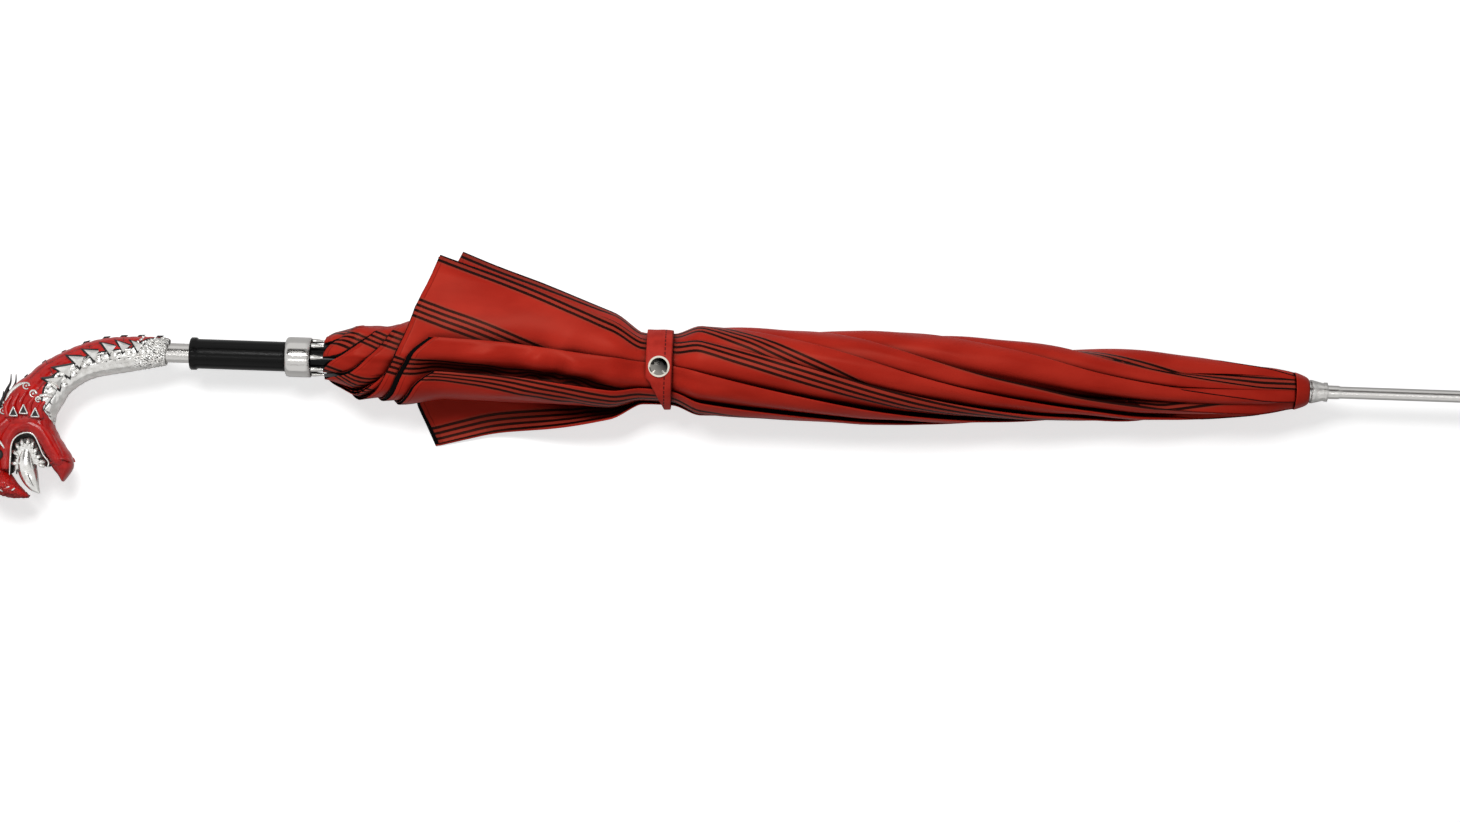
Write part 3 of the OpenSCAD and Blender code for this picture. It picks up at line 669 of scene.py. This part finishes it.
def gore(k):
    """Gore k's furled cloth, in place of its CAD node."""
    j = (k - 2) % PLEATS
    points, s = gore_grid(j)
    rows, cols = s.shape
    step = np.linalg.norm(np.diff(points, axis=1), axis=2)
    run = np.concatenate([np.zeros((rows, 1)), np.cumsum(step, 1)], 1)
    share = run / run[:, -1:]
    weight = np.clip(gore_weight(k, points, s, share), 0, 1)
    # A smooth step from 0 to 1 takes a point at this place to its weight.
    place = 0.5 - np.sin(np.arcsin(1 - 2 * weight) / 3)
    pattern = np.stack([place, s * MM, np.zeros_like(s)], -1).reshape(-1, 3)
    # Distance across the cloth from a group of lines, and up the cloth from its hem
    across = run - run[:, MIDDLE_COL:MIDDLE_COL + 1]
    drift = np.interp(s, *STRIPE_PATH[j])
    rise = np.linalg.norm(np.diff(points, axis=0), axis=2)
    down = np.concatenate([np.cumsum(rise[::-1], 0)[::-1], np.zeros((1, cols))], 0)
    cloth = np.stack([(across - drift) * MM, down * MM], -1).reshape(-1, 2)
    obj = cloth_mesh(f"canopy_gore_{k}", pattern, cloth, cols, (canopy_cloth, lining))
    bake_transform(obj)
    obj.data.vertices.foreach_set("co", (points * MM).ravel())
    obj.data.update()
    solidify(obj, CLOTH_THICK * MM, 1)
    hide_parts(f"gore_{k}")


for number in range(1, PLEATS + 1):
    gore(number)


def crown():
    """The small round of cloth over the rib hinges, which the gores come out from under."""
    rows, cols = 12, 97
    s = np.linspace(CROWN[0], CROWN[1] + 0.8, rows)[:, None] + np.zeros(cols)
    a = np.radians(np.linspace(0, 360, cols))[None, :] + 0 * s
    along = between(s, CROWN[0], CROWN[1])
    r = mix(7.4, CROWN_R, along ** 0.62) + 0.15 * along * np.cos(8 * a)
    # Plain cloth, halfway between two groups of lines
    plain = np.tile([GROUP_PITCH / 2, 12 * MM], (rows * cols, 1))
    obj = cloth_mesh("canopy_crown", round_axis(-s, r, a), plain, cols, (canopy_cloth, lining))
    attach(obj, "shaft")
    solidify(obj, CLOTH_THICK * MM, 1)
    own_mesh(obj)


crown()


# ---------- strap ----------

STRAP_WIDE = 16.0
STRAP_THICK = 0.8
BAND_R = CINCH_R + 0.8
TAIL_R = BAND_R + STRAP_THICK + 0.3
# The strap narrows below its press stud, and widens again round the back, between
# these angles.
WIDENS = (200, 225)


def strap_width(angle):
    """Left and right edges of the strap at an angle round the bundle."""
    y = TAIL_R * math.cos(math.radians(angle))
    if angle < WIDENS[0]:
        narrow = between(-y, 5.5, 25)
    else:
        narrow = 1 - between(angle, *WIDENS)
    step = 1.6 * min(1, narrow * 8)
    left = -STRAP - STRAP_WIDE / 2 + 11.0 * narrow ** 1.15 + step
    return left, -STRAP + STRAP_WIDE / 2 - 0.5 * narrow


def strap_piece(name, node, first, last, radius):
    """The part of the strap from angle first to last, in place of a CAD node."""
    angles = np.arange(first, last + 0.1, 1.5)
    left, right = np.array([strap_width(a) for a in angles]).T
    across = np.linspace(0, 1, 13)
    x = left[:, None] + (right - left)[:, None] * across[None, :]
    a = np.radians(angles)[:, None] + 0 * x
    edge = 1 - np.abs(2 * across[None, :] - 1) ** 6
    r = radius + STRAP_THICK * 0.5 + 0.25 * edge + 0.12 * np.sin(a * 9 + x * 0.5)
    in_from_edge = -STRAP + STRAP_WIDE / 2 - x
    cloth = np.stack([in_from_edge * MM, a * radius * MM], -1).reshape(-1, 2)
    obj = cloth_mesh(name, round_axis(x, r, a), cloth, len(across), (strap_cloth,))
    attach(obj, frame["nodes"][node]["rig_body"])
    solidify(obj, STRAP_THICK * MM, 0, 0.0)
    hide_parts(node)
    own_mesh(obj)


strap_piece("strap_under", "strap_band", 70.7, 369.8, BAND_R)
strap_piece("strap_over", "strap_tail", 12.0, 172.0, TAIL_R)


# ---------- dragon handle ----------
# Rows along the crook: x, y, half width in the crook's plane and half depth across it,
# in millimetres. The handle is the same on both its sides.

NECK = [
    (-720.8, 0.8, 7.4, 7.6), (-722.4, 0.8, 8.2, 8.3), (-733.5, -0.3, 9.6, 9.8),
    (-746.4, -2, 10.8, 11.2), (-756.8, -3.5, 11.2, 11.5), (-766.2, -5.8, 11, 11.6),
    (-775, -9.3, 11, 11.8), (-783.3, -14.2, 11.6, 12.2), (-790.3, -19.5, 12.6, 12.8),
    (-796, -26.5, 14, 13.4), (-801.8, -33.5, 16.2, 14), (-806, -41.5, 17.6, 14),
    (-807.5, -48, 17, 12.6), (-807.8, -51.5, 15.5, 9),
]
LOWER_JAW = [
    (-799, -41, 9, 11), (-794.8, -50, 6.6, 12.6), (-790.2, -58.2, 6.2, 12.4),
    (-785.6, -65.2, 6.5, 11.6), (-783, -70.3, 6.8, 10.6), (-782.2, -75, 5, 8.6),
    (-782.3, -80, 1.3, 5), (-782.5, -81.3, 0.4, 3),
]
UPPER_JAW = [
    (-812, -42, 9, 11), (-821.5, -51, 8.2, 13), (-826, -61, 9.6, 13),
    (-826.5, -70, 9.4, 12.6), (-823, -79.5, 8.6, 12), (-816, -85.8, 6.4, 10.6),
    (-808.5, -89.4, 3, 7.5), (-803.2, -91.3, 0.6, 3.6),
]
LIP = [
    (-818.9, -75, 2.6), (-818.9, -66, 3.6), (-818.2, -57, 4.2), (-813.6, -49.6, 4.6),
    (-806.2, -46.9, 4.9), (-798.9, -49.4, 4.8), (-794.2, -55.2, 4.8), (-790, -62.2, 4.8),
    (-786.4, -67.8, 4.2), (-784.4, -71, 2.4),
]
MOUTH = [
    (-815.5, -78.5), (-815.4, -67.6), (-814.8, -58.9), (-811.6, -54.2), (-806, -51.9),
    (-801.2, -53.6), (-798, -59.2), (-795.2, -65.2), (-791.8, -69.6), (-792.3, -73),
]


def catmull(rows, count):
    """A smooth line through rows of numbers, at even steps of the rows' numbering."""
    p = np.array(rows, float)
    p = np.vstack([2 * p[0] - p[1], p, 2 * p[-1] - p[-2]])
    t = np.linspace(0, len(rows) - 1, count)
    i = np.minimum(t.astype(int), len(rows) - 2)
    f = (t - i)[:, None]
    a, b, c, d = p[i], p[i + 1], p[i + 2], p[i + 3]
    return 0.5 * (2 * b + (c - a) * f + (2 * a - 5 * b + 4 * c - d) * f ** 2
                  + (3 * b - a - 3 * c + d) * f ** 3)


def even_rows(rows, step):
    """The smooth line again, at even distances of about step along it."""
    fine = catmull(rows, 40 * len(rows))
    run = np.concatenate([[0], np.cumsum(np.linalg.norm(np.diff(fine[:, :2], axis=0), axis=1))])
    at = np.linspace(0, run[-1], max(4, int(run[-1] / step)))
    return np.stack([np.interp(at, run, fine[:, k]) for k in range(fine.shape[1])], 1), at


def sides(line):
    """Unit vectors along a plane line and to its back side."""
    way = unit(np.gradient(line[:, :2], axis=0))
    return way, np.stack([way[:, 1], -way[:, 0]], 1)


class Pile:
    """Small forms gathered into one mesh, with how silver and how dark each point is."""

    def __init__(self):
        self.points, self.faces, self.silver, self.dark = [], [], [], []

    def add(self, points, faces, silver, dark):
        base = len(self.points)
        self.points += [tuple(p) for p in points]
        self.faces += [tuple(i + base for i in f) for f in faces]
        self.silver += list(np.broadcast_to(silver, len(points)))
        self.dark += list(np.broadcast_to(dark, len(points)))

    def tube(self, path, radii, silver, dark, around, count):
        """A round tube along a path, with a radius at each of the path's points."""
        line = catmull([(*p, r) for p, r in zip(path, radii)], count)
        way = unit(np.gradient(line[:, :3], axis=0))
        flat = unit(np.cross(way, (0.05, 0.02, 1.0)))
        up = np.cross(flat, way)
        q = np.linspace(0, 2 * np.pi, around, endpoint=False)
        ring = flat[:, None] * np.cos(q)[None, :, None] + up[:, None] * np.sin(q)[None, :, None]
        points = (line[:, None, :3] + ring * line[:, None, 3:4]).reshape(-1, 3)
        self.add(points, [f[::-1] for f in tube_faces(count, around)], silver, dark)

    def blob(self, centre, radii, silver, dark, turn=0.0):
        """An ellipsoid, turned in the crook's plane."""
        rings, around = 7, 12
        lat = np.linspace(-np.pi / 2, np.pi / 2, rings)
        lon = np.linspace(0, 2 * np.pi, around, endpoint=False)
        x = np.cos(lat)[:, None] * np.cos(lon)[None, :] * radii[0]
        y = np.cos(lat)[:, None] * np.sin(lon)[None, :] * radii[1]
        z = np.repeat(np.sin(lat)[:, None], around, 1) * radii[2]
        c, s = math.cos(turn), math.sin(turn)
        points = np.stack([x * c - y * s, x * s + y * c, z], -1).reshape(-1, 3) + np.array(centre)
        self.add(points, grid_faces(rings, around, closed=True), silver, dark)

    def scale(self, at, ahead, aside, out, length, width, height, silver, dark):
        """A pointed scale with a keel, lying on a surface."""
        tip = at + ahead * length * 0.62 + out * height * 0.75
        rear = at - ahead * length * 0.38 - out * 0.4
        left, right = rear + aside * width / 2, rear - aside * width / 2
        keel = at - ahead * length * 0.1 + out * height
        under = at - out * 1.5
        points = [tip, left, right, keel, under]
        faces = [(0, 1, 3), (3, 1, 2), (0, 3, 2), (0, 4, 1), (1, 4, 2), (2, 4, 0)]
        self.add(points, faces, silver, [dark * 0.2, dark, dark, dark * 0.2, 1.0])

    def mirrored(self):
        """Adds the same forms on the other side of the crook."""
        n = len(self.points)
        self.points += [(x, y, -z) for x, y, z in self.points]
        self.faces += [tuple(i + n for i in f[::-1]) for f in self.faces]
        self.silver += self.silver
        self.dark += self.dark

    def build(self, name, *nodes, slot="silver_trim", smooth=True):
        """The piece, in place of the named CAD nodes."""
        obj = new_mesh(name, np.array(self.points) * MM, self.faces, smooth)
        paint(obj, self.silver, self.dark, nodes)


def paint(obj, silver, dark, nodes):
    """Gives a form its values and material, fixes it to the shaft and hides the CAD nodes it
    stands for.
    """
    for name, values in (("silver", silver), ("dark", dark)):
        layer = obj.data.attributes.new(name, "FLOAT", "POINT")
        layer.data.foreach_set("value", np.asarray(values, np.float32).ravel())
    obj.data.materials.append(dragon.mat)
    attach(obj, "shaft")
    if nodes:
        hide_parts(*nodes)


def dragon_material():
    """Red lacquer and polished silver by the forms' own values, with black recesses."""
    m = Shader("dragon", linear(190, 20, 16), 0.2)
    silver_part, dark_part = (m.node("ShaderNodeAttribute", attribute_name=name).outputs["Fac"]
                              for name in ("silver", "dark"))
    silvered = m.ramp(silver_part, 0.4, 0.6)
    tone = m.noise(220, 4)
    red = m.mix(m.ramp(tone, 0.35, 0.65), linear(176, 14, 12), linear(202, 26, 20))
    white = m.mix(m.ramp(tone, 0.35, 0.7), linear(214, 212, 208), linear(240, 239, 236))
    colour = m.mix(silvered, red, white)
    dark = m.ramp(dark_part, 0.35, 0.65)
    m.set("Base Color", m.mix(dark, colour, linear(12, 8, 8)))
    shine = m.math("MULTIPLY", silvered, 0.85)
    m.set("Metallic", m.math("MULTIPLY", shine, m.math("SUBTRACT", 1.0, dark)))
    m.set("Roughness", m.ramp(dark, 0, 1, 0.2, 0.5))
    m.set("Specular IOR Level", 0.35)
    m.bump(m.noise(900, 3), 0.08 * MM, 0.35)
    return m


dragon = dragon_material()


def skin(name, rows, relief, step, around, *nodes):
    """A closed skin along a path, its height and paint given by relief(s, angle)."""
    line, at = even_rows(rows, step)
    _, back = sides(line)
    v = np.linspace(-180, 180, around, endpoint=False)
    c, s = np.cos(np.radians(v))[None, :], np.sin(np.radians(v))[None, :]
    half, deep = line[:, 2:3], line[:, 3:4]
    normal_in, normal_z = c / half, s / deep
    size = np.sqrt(normal_in ** 2 + normal_z ** 2)
    high, silver_part, dark = relief(at[:, None] + 0 * v[None, :], v[None, :] + 0 * at[:, None])
    inside = half * c + high * normal_in / size
    z = deep * s + high * normal_z / size
    x, y = (line[:, i:i + 1] + back[:, i:i + 1] * inside for i in (0, 1))
    points = np.stack([x, y, z], -1).reshape(-1, 3)
    obj = new_mesh(name, points * MM, tube_faces(len(line), around))
    paint(obj, silver_part, dark, nodes)


def cells(s, a, long, wide):
    """A lap pattern of rounded scales: 0 in the grooves to 1 on the crowns."""
    row = np.floor(a / wide)
    u = (s / long + 0.5 * (row % 2)) % 1.0
    t = (a / wide) % 1.0
    return np.prod([np.clip(1 - (2 * part - 1) ** 2, 0, 1) ** 0.5 for part in (u, t)], axis=0)


def speckle(s, a):
    """An uneven pattern of small bumps, about -1.5 to 1.5."""
    return (np.sin(1.9 * s + 2.3 * np.sin(0.21 * a)) * np.sin(0.37 * a + 1.7 * np.sin(1.1 * s))
            + 0.5 * np.sin(3.1 * s + 0.5 * a))


# The neck's silver begins at these angles from its back, against the way along it
SILVER_S = [0, 8, 14, 20, 45, 66, 80, 84, 90, 94, 98, 100, 200]
SILVER_ANGLE = [12, 22, 45, 72, 78, 84, 94, 103, 122, 146, 172, 190, 190]


def neck_relief(s, v):
    a = np.abs(v)
    edge = np.interp(s, SILVER_S, SILVER_ANGLE)
    silver_part = (a > edge).astype(float)
    away = (a - edge) / 57.3 * 11
    scaly = cells(s, a * 0.2, 5.6, 4.2)
    ornate = speckle(s, a) * (1 - between(s, 14, 24)) * silver_part
    red_part = (1 - silver_part) * (1 - between(s, 84, 96))
    plates = silver_part * (1 - between(away, 5.5, 8)) * between(s, 16, 24)
    high = 0.3 * scaly * red_part + 0.75 * scaly * plates + 0.45 * ornate
    belly = silver_part * between(away, 8, 11)
    high = high + 0.3 * belly * np.abs(np.sin(np.pi * s / 5.2)) ** 0.5
    outline = (np.abs(away) < 0.55) * (edge < 140)
    grooves = np.maximum(plates * (scaly < 0.32), red_part * (scaly < 0.12) * 0.8)
    return high, silver_part, np.maximum(np.maximum(outline, grooves), ornate < -0.55)


def jaw_relief(s, v):
    high = 0.15 * np.sin(s * 0.9) * np.cos(np.radians(v)) ** 2
    return high, 0 * s, 0 * s


def upper_relief(s, v):
    a = np.abs(v)
    rough = between(s, 22, 32)
    high = 0.5 * rough * speckle(s * 0.8, a) * (a < 140)
    return high, 0 * s, (high < -0.42) * 1.0


NECK_LINE, NECK_RUN = even_rows(NECK, 0.5)
NECK_WAY, NECK_BACK = sides(NECK_LINE)


def on_neck(s, v):
    """A point of the neck's skin with the vectors ahead, to the back and outward."""
    i = min(int(np.searchsorted(NECK_RUN, s)), len(NECK_RUN) - 1)
    x, y, half, deep = NECK_LINE[i]
    q = math.radians(v)
    ahead = np.array([*NECK_WAY[i], 0])
    back = np.array([*NECK_BACK[i], 0])
    up = np.array([0, 0, 1.0])
    at = np.array([x, y, 0]) + back * half * math.cos(q) + up * deep * math.sin(q)
    out = unit(back * math.cos(q) / half + up * math.sin(q) / deep)
    return at, ahead, np.cross(out, ahead), out


def nearest(x, y):
    """The neck line's row nearest to a point of the crook's plane, and how far it is."""
    d = np.linalg.norm(NECK_LINE[:, :2] - np.array([x, y]), axis=1)
    i = int(np.argmin(d))
    return i, d[i]


def skin_z(x, y):
    """Height of the neck and head's skin over a point of the crook's plane."""
    i, d = nearest(x, y)
    half, deep = NECK_LINE[i, 2:4]
    return deep * math.sqrt(max(0.0, 1 - min(0.98, (d / half) ** 2)))


def seen(x, y, z):
    """The true place of something at height z that the picture shows over (x, y, 0)."""
    shrink = 1 - z * MM / CAMERA_HEIGHT
    cx, cy = (c / MM for c in PICTURE_CENTRE)
    return cx + (x - cx) * shrink, cy + (y - cy) * shrink


def on_skin(points, lift):
    """Points of the picture, placed on the head's skin or a little above it."""
    placed = []
    for x, y in points:
        x, y = seen(x, y, skin_z(x, y))
        placed.append((x, y, skin_z(x, y) + lift))
    return placed


def skin_frame(x, y):
    """The way along the neck and the angle from its back, under a point of the picture."""
    x, y = seen(x, y, 11.5)
    i, _ = nearest(x, y)
    aside = float(np.dot(np.array([x, y]) - NECK_LINE[i, :2], NECK_BACK[i]))
    return NECK_RUN[i], math.degrees(math.acos(max(-1, min(1, aside / NECK_LINE[i, 2]))))


# Tip and base of each large scale along the neck's side
SPIKES = [
    (-742.3, 5.3, -737.9, 2), (-750.5, 4.6, -746.5, 1.3), (-759.6, 3.4, -754.3, 0.1),
    (-770.6, -0.8, -763.6, -3.6), (-779.6, -5.2, -773, -7.8), (-786.8, -12.2, -780.1, -13.3),
    (-792.6, -19.1, -785.9, -20.8),
]


def lips():
    lip = Pile()
    path = [(*seen(x, y, 10), 8.4) for x, y, _ in LIP]
    lip.tube(path, [r for _, _, r in LIP], 0, 0, 28, 90)
    rim = [(*seen(x, y, 10.5), 10.6) for x, y in MOUTH]
    lip.tube(rim, [0.3] + [0.55] * 8 + [0.3], 1, 0, 8, 80)
    # The lip's end on the lower jaw
    end = [(-791, -70.6), (-787.5, -68.6), (-783.6, -67.2), (-781, -67.8), (-779, -69.4)]
    lip.tube([(*seen(x, y, 11), z) for (x, y), z in zip(end, (9.6, 11, 11.3, 9.6, 6))],
             [0.4, 0.9, 1, 0.9, 0.4], 0, 0, 10, 30)
    # Beads in a row over the lip
    line = catmull([(x, y) for x, y, _ in LIP[2:8]], 24)
    _, back = sides(line)
    for (x, y), (bx, by) in zip(line[2:-5], back[2:-5]):
        x, y = x - bx * 5.4, y - by * 5.4
        lip.blob(on_skin([(x, y)], 0.1)[0], (0.7, 1.1, 0.8), 0, 0, math.atan2(-bx, by))
    lip.mirrored()
    lip.build("dragon_lips", slot="red_lacquer")


def inner_mouth():
    mouth = Pile()
    line = catmull([seen(x, y, 9) for x, y in MOUTH], 60)
    middle = np.array([-803.6, -70])

    def ring(part, z):
        return [(*p, z) for p in line + (middle - line) * part]

    mouth.add(ring(0, 9) + ring(0.17, 5), [f[::-1] for f in grid_faces(2, 60)], 0, 1)
    gum = ring(0.17, 3) + ring(0.22, 7.6) + ring(0.4, 8.4) + ring(0.75, 7.4) + ring(1, 6.4)
    mouth.add(gum, [f[::-1] for f in grid_faces(5, 60)], 1, 0)
    # Teeth along both jaws, with dark gaps between them
    for k in range(4, 59, 3):
        at = (line + (middle - line) * 0.33)[k]
        way = unit(middle - line[k])
        if k % 2 == 0:
            mouth.tube([(*(at - way * 2), 7.8), (*at, 9.2), (*(at + way * 2.2), 8.6)],
                       [1.3, 1.25, 0.3], 1, 0, 10, 10)
        else:
            mouth.blob((*at, 8.1), (1.1, 0.6, 0.55), 1, 1, math.atan2(way[1], way[0]))
    mouth.mirrored()
    mouth.build("dragon_mouth", "mouth_lining", "teeth")


def tongue_piece():
    tongue = Pile()
    tongue.tube([(-804, -60, 3), (-804.5, -70, 4), (-802.5, -78, 4.4), (-799.5, -84.5, 4),
                 (-796, -89, 3)], [4.2, 6, 5.6, 3.6, 0.5], 1, 0, 18, 40)
    tongue.tube([(-803, -74, 9.7), (-801.4, -79, 9.6), (-799, -84.5, 7.6)],
                [0.25, 0.35, 0.2], 1, 1, 6, 24)
    tongue.build("dragon_tongue", "tongue")


def neck_scales():
    scales = Pile()
    for k, (tx, ty, bx, by) in enumerate(SPIKES):
        s, v = skin_frame((tx + bx) / 2, (ty + by) / 2)
        at, _, _, out = on_neck(s, v)
        slope = np.array([tx - bx, ty - by, 0])
        slope = unit(slope - out * np.dot(slope, out))
        across = np.cross(out, slope)
        size = 5.4 + 0.35 * k
        # A black scale under a silver one makes its dark outline.
        scales.scale(at + out * 0.1 + slope * 0.7, slope, across, out,
                     size * 1.9, size * 1.55, 1, 1, 5)
        scales.scale(at + out * 0.5, slope, across, out, size * 1.3, size * 1.05, 2.2, 1, 0)
        at, _, _, out = on_neck(s - 3.5, v + 24)
        scales.blob(at + out * 0.1, (2.6, 2.1, 1.5), 1, 0)
    # Silver beads over the ornament at the neck's end
    for k in range(26):
        s = 1.6 + (k * 7.3) % 15
        v = 22 + (k * 37) % 118
        at, _, _, out = on_neck(s, v)
        scales.blob(at + out * 0.25, (1.35, 0.8, 0.8), 1, 0, k * 1.3)
    scales.mirrored()
    # Small black scales down the back
    for k, s in enumerate([5, 16, 26.5, 36.5, 47.5, 60, 72, 84, 95]):
        at, ahead, aside, out = on_neck(s, 0)
        size = 2.0 if k < 5 else 1.4
        scales.scale(at, -ahead, aside, out, size * 3, 1.6, size * 0.65, 0, 5)
    scales.build("dragon_scales", smooth=False)


def brow():
    crest = Pile()
    # Ridges of the brow, curls and a crest line
    ridges = [
        [(-817.5, -43), (-818.5, -37), (-815, -29.5)],
        [(-813.5, -42), (-814.5, -35.5), (-810.8, -27.5)],
        [(-810, -41), (-810.5, -34), (-806.5, -26.5)],
        [(-803.8, -42), (-805, -35.5), (-801.5, -29.5)],
        [(-797.5, -43), (-798.5, -37), (-795.5, -32.5)],
    ]
    for line in ridges:
        crest.tube(on_skin(line, 0.2), [1.5, 1.9, 0.9], 0, 0, 12, 20)
    crest.tube(on_skin([(-819, -33), (-815.8, -27.4), (-811.2, -23.2), (-807.4, -21.3)], 0.7),
               [0.5, 1.25, 1.2, 0.5], 1, 0, 12, 24)
    for x, y, r in ((-806.6, -23.4, 1.9), (-802.4, -28, 2), (-799.4, -31.4, 1.5),
                    (-820, -39, 2), (-821.5, -34.5, 1.6)):
        curl = [(x + r * math.cos(q), y + r * math.sin(q)) for q in np.linspace(0, 5.4, 8)]
        crest.tube(on_skin(curl, 0.7), np.linspace(0.75, 0.35, 8), 1, 0, 8, 22)
        crest.blob(on_skin([(x, y)], 0.5)[0], (0.8, 0.8, 0.8), 1, 0)
    # Three brow plates: silver frames round black faces
    for x, y in ((-813.6, -39.6), (-807.6, -38), (-800.6, -39.8)):
        x, y, z = on_skin([(x, y)], 2.4)[0]
        corners = [(x - 2.6, y - 2.3), (x + 2.5, y - 2.3), (x - 0.2, y + 3.2), (x - 2.6, y - 2.3)]
        for p, q in zip(corners, corners[1:]):
            crest.tube([(*p, z), ((p[0] + q[0]) / 2, (p[1] + q[1]) / 2, z + 0.15), (*q, z)],
                       [0.42, 0.42, 0.42], 1, 0, 8, 6)
        crest.add([(*corner, z - 0.1) for corner in corners[:3]], [(0, 1, 2)], 1, 1)
    # Small horn over the belly's end
    crest.tube(on_skin([(-791, -29), (-794.6, -28.6), (-798.6, -29.2)], 0.8),
               [1.5, 1.25, 0.8], 1, 0, 12, 14)
    # The black eye, its silver lid and silver beads on the nose
    crest.blob((-819.6, -65.8, 12), (2.6, 3, 1.6), 0, 1)
    crest.tube([(-823, -58.5, 11.6), (-819.8, -57.6, 13), (-816.2, -62.5, 11.6)],
               [0.5, 0.9, 0.5], 1, 0, 8, 14)
    for x, y in ((-819, -83.5), (-816.5, -86), (-813, -87.2), (-820.5, -88)):
        crest.blob((*seen(x, y, 10), 9.6), (1.5, 0.6, 0.8), 1, 0, x)
    crest.mirrored()
    crest.build("dragon_crest", "eyes")


def horn_pairs():
    horns = Pile()
    horns.tube([(-822, -38, 7.5), (-817.3, -26.4, 7.2), (-815.2, -21.6, 7),
                (-815, -16.4, 7)], [1.1, 0.95, 0.6, 0.25], 0, 1, 8, 24)
    horns.tube([(-826, -44, 7.5), (-823.5, -34, 8.4), (-822.8, -27, 8.6)],
               [1, 0.7, 0.25], 0, 1, 8, 20)
    horns.mirrored()
    horns.build("dragon_horns", "horns")


skin("dragon_neck", NECK, neck_relief, 0.5, 180, "handle_body", "handle_neck",
     "handle_collar", "side_scales", "belly_scales", "dorsal_spines")
skin("dragon_lower_jaw", LOWER_JAW, jaw_relief, 0.6, 120, "lower_jaw")
skin("dragon_upper_jaw", UPPER_JAW, upper_relief, 0.6, 120, "upper_jaw")
lips()
inner_mouth()
tongue_piece()
neck_scales()
brow()
horn_pairs()


# ---------- CAD nodes' materials ----------

# The nodes that pieces replace are hidden, so their look doesn't matter.
LOOKS = {
    "shaft_tube": chrome, "ferrule": chrome, "canopy_cap": chrome, "tip_cup": chrome,
    "top_notch": grip, "runner_sleeve": grip, "runner_crown": grip, "snap_cap": snap_chrome,
}
for name, node in frame["nodes"].items():
    look = LOOKS.get(name, steel)
    if name.startswith("rib_tip"):
        look = silver
    elif name.startswith(("rib_", "stretcher_")):
        look = rib_steel
    node.data.materials.clear()
    node.data.materials.append(look.mat)


# ---------- stage ----------

FLOOR_HALF = 4
FLOOR_GLOW = 0.62
# How bright the world is for light on things, and for the camera and reflections
WORLD_FILL = 0.15
WORLD_SEEN = 0.95


def add_camera():
    """Straight above the umbrella, turned as the photograph is."""
    data = bpy.data.cameras.new("camera")
    data.lens = data.sensor_width / 2 / (PICTURE_WIDTH / 2 / CAMERA_HEIGHT)
    cam = bpy.data.objects.new("camera", data)
    cam.location = (*PICTURE_CENTRE, CAMERA_HEIGHT)
    cam.rotation_euler = (0, 0, PICTURE_TILT)
    scene.collection.objects.link(cam)
    scene.camera = cam


def add_area(name, place, size, watts):
    """A soft lamp turned to the umbrella's middle."""
    data = bpy.data.lights.new(name, "AREA")
    data.shape = "RECTANGLE"
    data.size, data.size_y = size
    data.energy = watts
    lamp = bpy.data.objects.new(name, data)
    lamp.location = place
    way = Vector((-0.37, -0.02, 0)) - Vector(place)
    lamp.rotation_euler = way.to_track_quat("-Z", "Y").to_euler()
    scene.collection.objects.link(lamp)


def plate(name, x, y, z, half_x, half_y, look):
    """A level rectangle of the stage."""
    corners = ((-1, -1), (1, -1), (1, 1), (-1, 1))
    points = [(x + dx * half_x, y + dy * half_y, z) for dx, dy in corners]
    obj = new_mesh(name, points, [(0, 1, 2, 3)], smooth=False)
    obj.data.materials.append(look.mat)
    obj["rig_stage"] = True
    return obj


def add_card(name, y, z, width, colour):
    """A dark card over the umbrella that only its reflections show."""
    m = Shader(name, (0, 0, 0, 1), 1.0)
    m.set("Specular IOR Level", 0.0)
    m.set("Emission Color", colour)
    m.set("Emission Strength", 1.0)
    card = plate(name, PICTURE_CENTRE[0], y, z, 1.2, width / 2, m)
    card.visible_camera = card.visible_diffuse = card.visible_shadow = False


def floor_material():
    """A pale floor that the camera sees as white where no shadow falls."""
    m = Shader("floor", (0.74, 0.74, 0.74, 1), 0.9)
    m.set("Specular IOR Level", 0.0)
    by_camera = m.node("ShaderNodeLightPath").outputs["Is Camera Ray"]
    m.set("Emission Color", (1, 1, 1, 1))
    m.set("Emission Strength", m.math("MULTIPLY", by_camera, FLOOR_GLOW))
    return m


def add_world():
    """A white world that lights things only a little."""
    world = scene.world = bpy.data.worlds.new("studio")
    world.use_nodes = True
    nodes, link = world.node_tree.nodes, world.node_tree.links.new
    back = next(n for n in nodes if n.type == "BACKGROUND")
    back.inputs["Color"].default_value = (1, 1, 1, 1)
    path = nodes.new("ShaderNodeLightPath")
    is_seen = nodes.new("ShaderNodeMath")
    is_seen.operation = "MAXIMUM"
    level = nodes.new("ShaderNodeMapRange")
    level.inputs["To Min"].default_value = WORLD_FILL
    level.inputs["To Max"].default_value = WORLD_SEEN
    link(path.outputs["Is Camera Ray"], is_seen.inputs[0])
    link(path.outputs["Is Glossy Ray"], is_seen.inputs[1])
    link(is_seen.outputs[0], level.inputs["Value"])
    link(level.outputs["Result"], back.inputs["Strength"])


add_camera()
add_world()
add_area("key", (-0.70, 0.60, 1.3), (0.6, 0.4), 14.5)
add_area("top_strip", (-0.37, -0.42, 1.3), (1.7, 0.06), 1.5)
add_card("flag_wide", 0.62, 0.9, 0.70, linear(34, 27, 22))
add_card("flag_thin", -0.97, 0.9, 0.07, linear(60, 56, 52))
floor_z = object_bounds()[0].z - 0.5 * MM
plate("floor", 0, 0, floor_z, FLOOR_HALF, FLOOR_HALF, floor_material())

scene.view_settings.view_transform = "Standard"
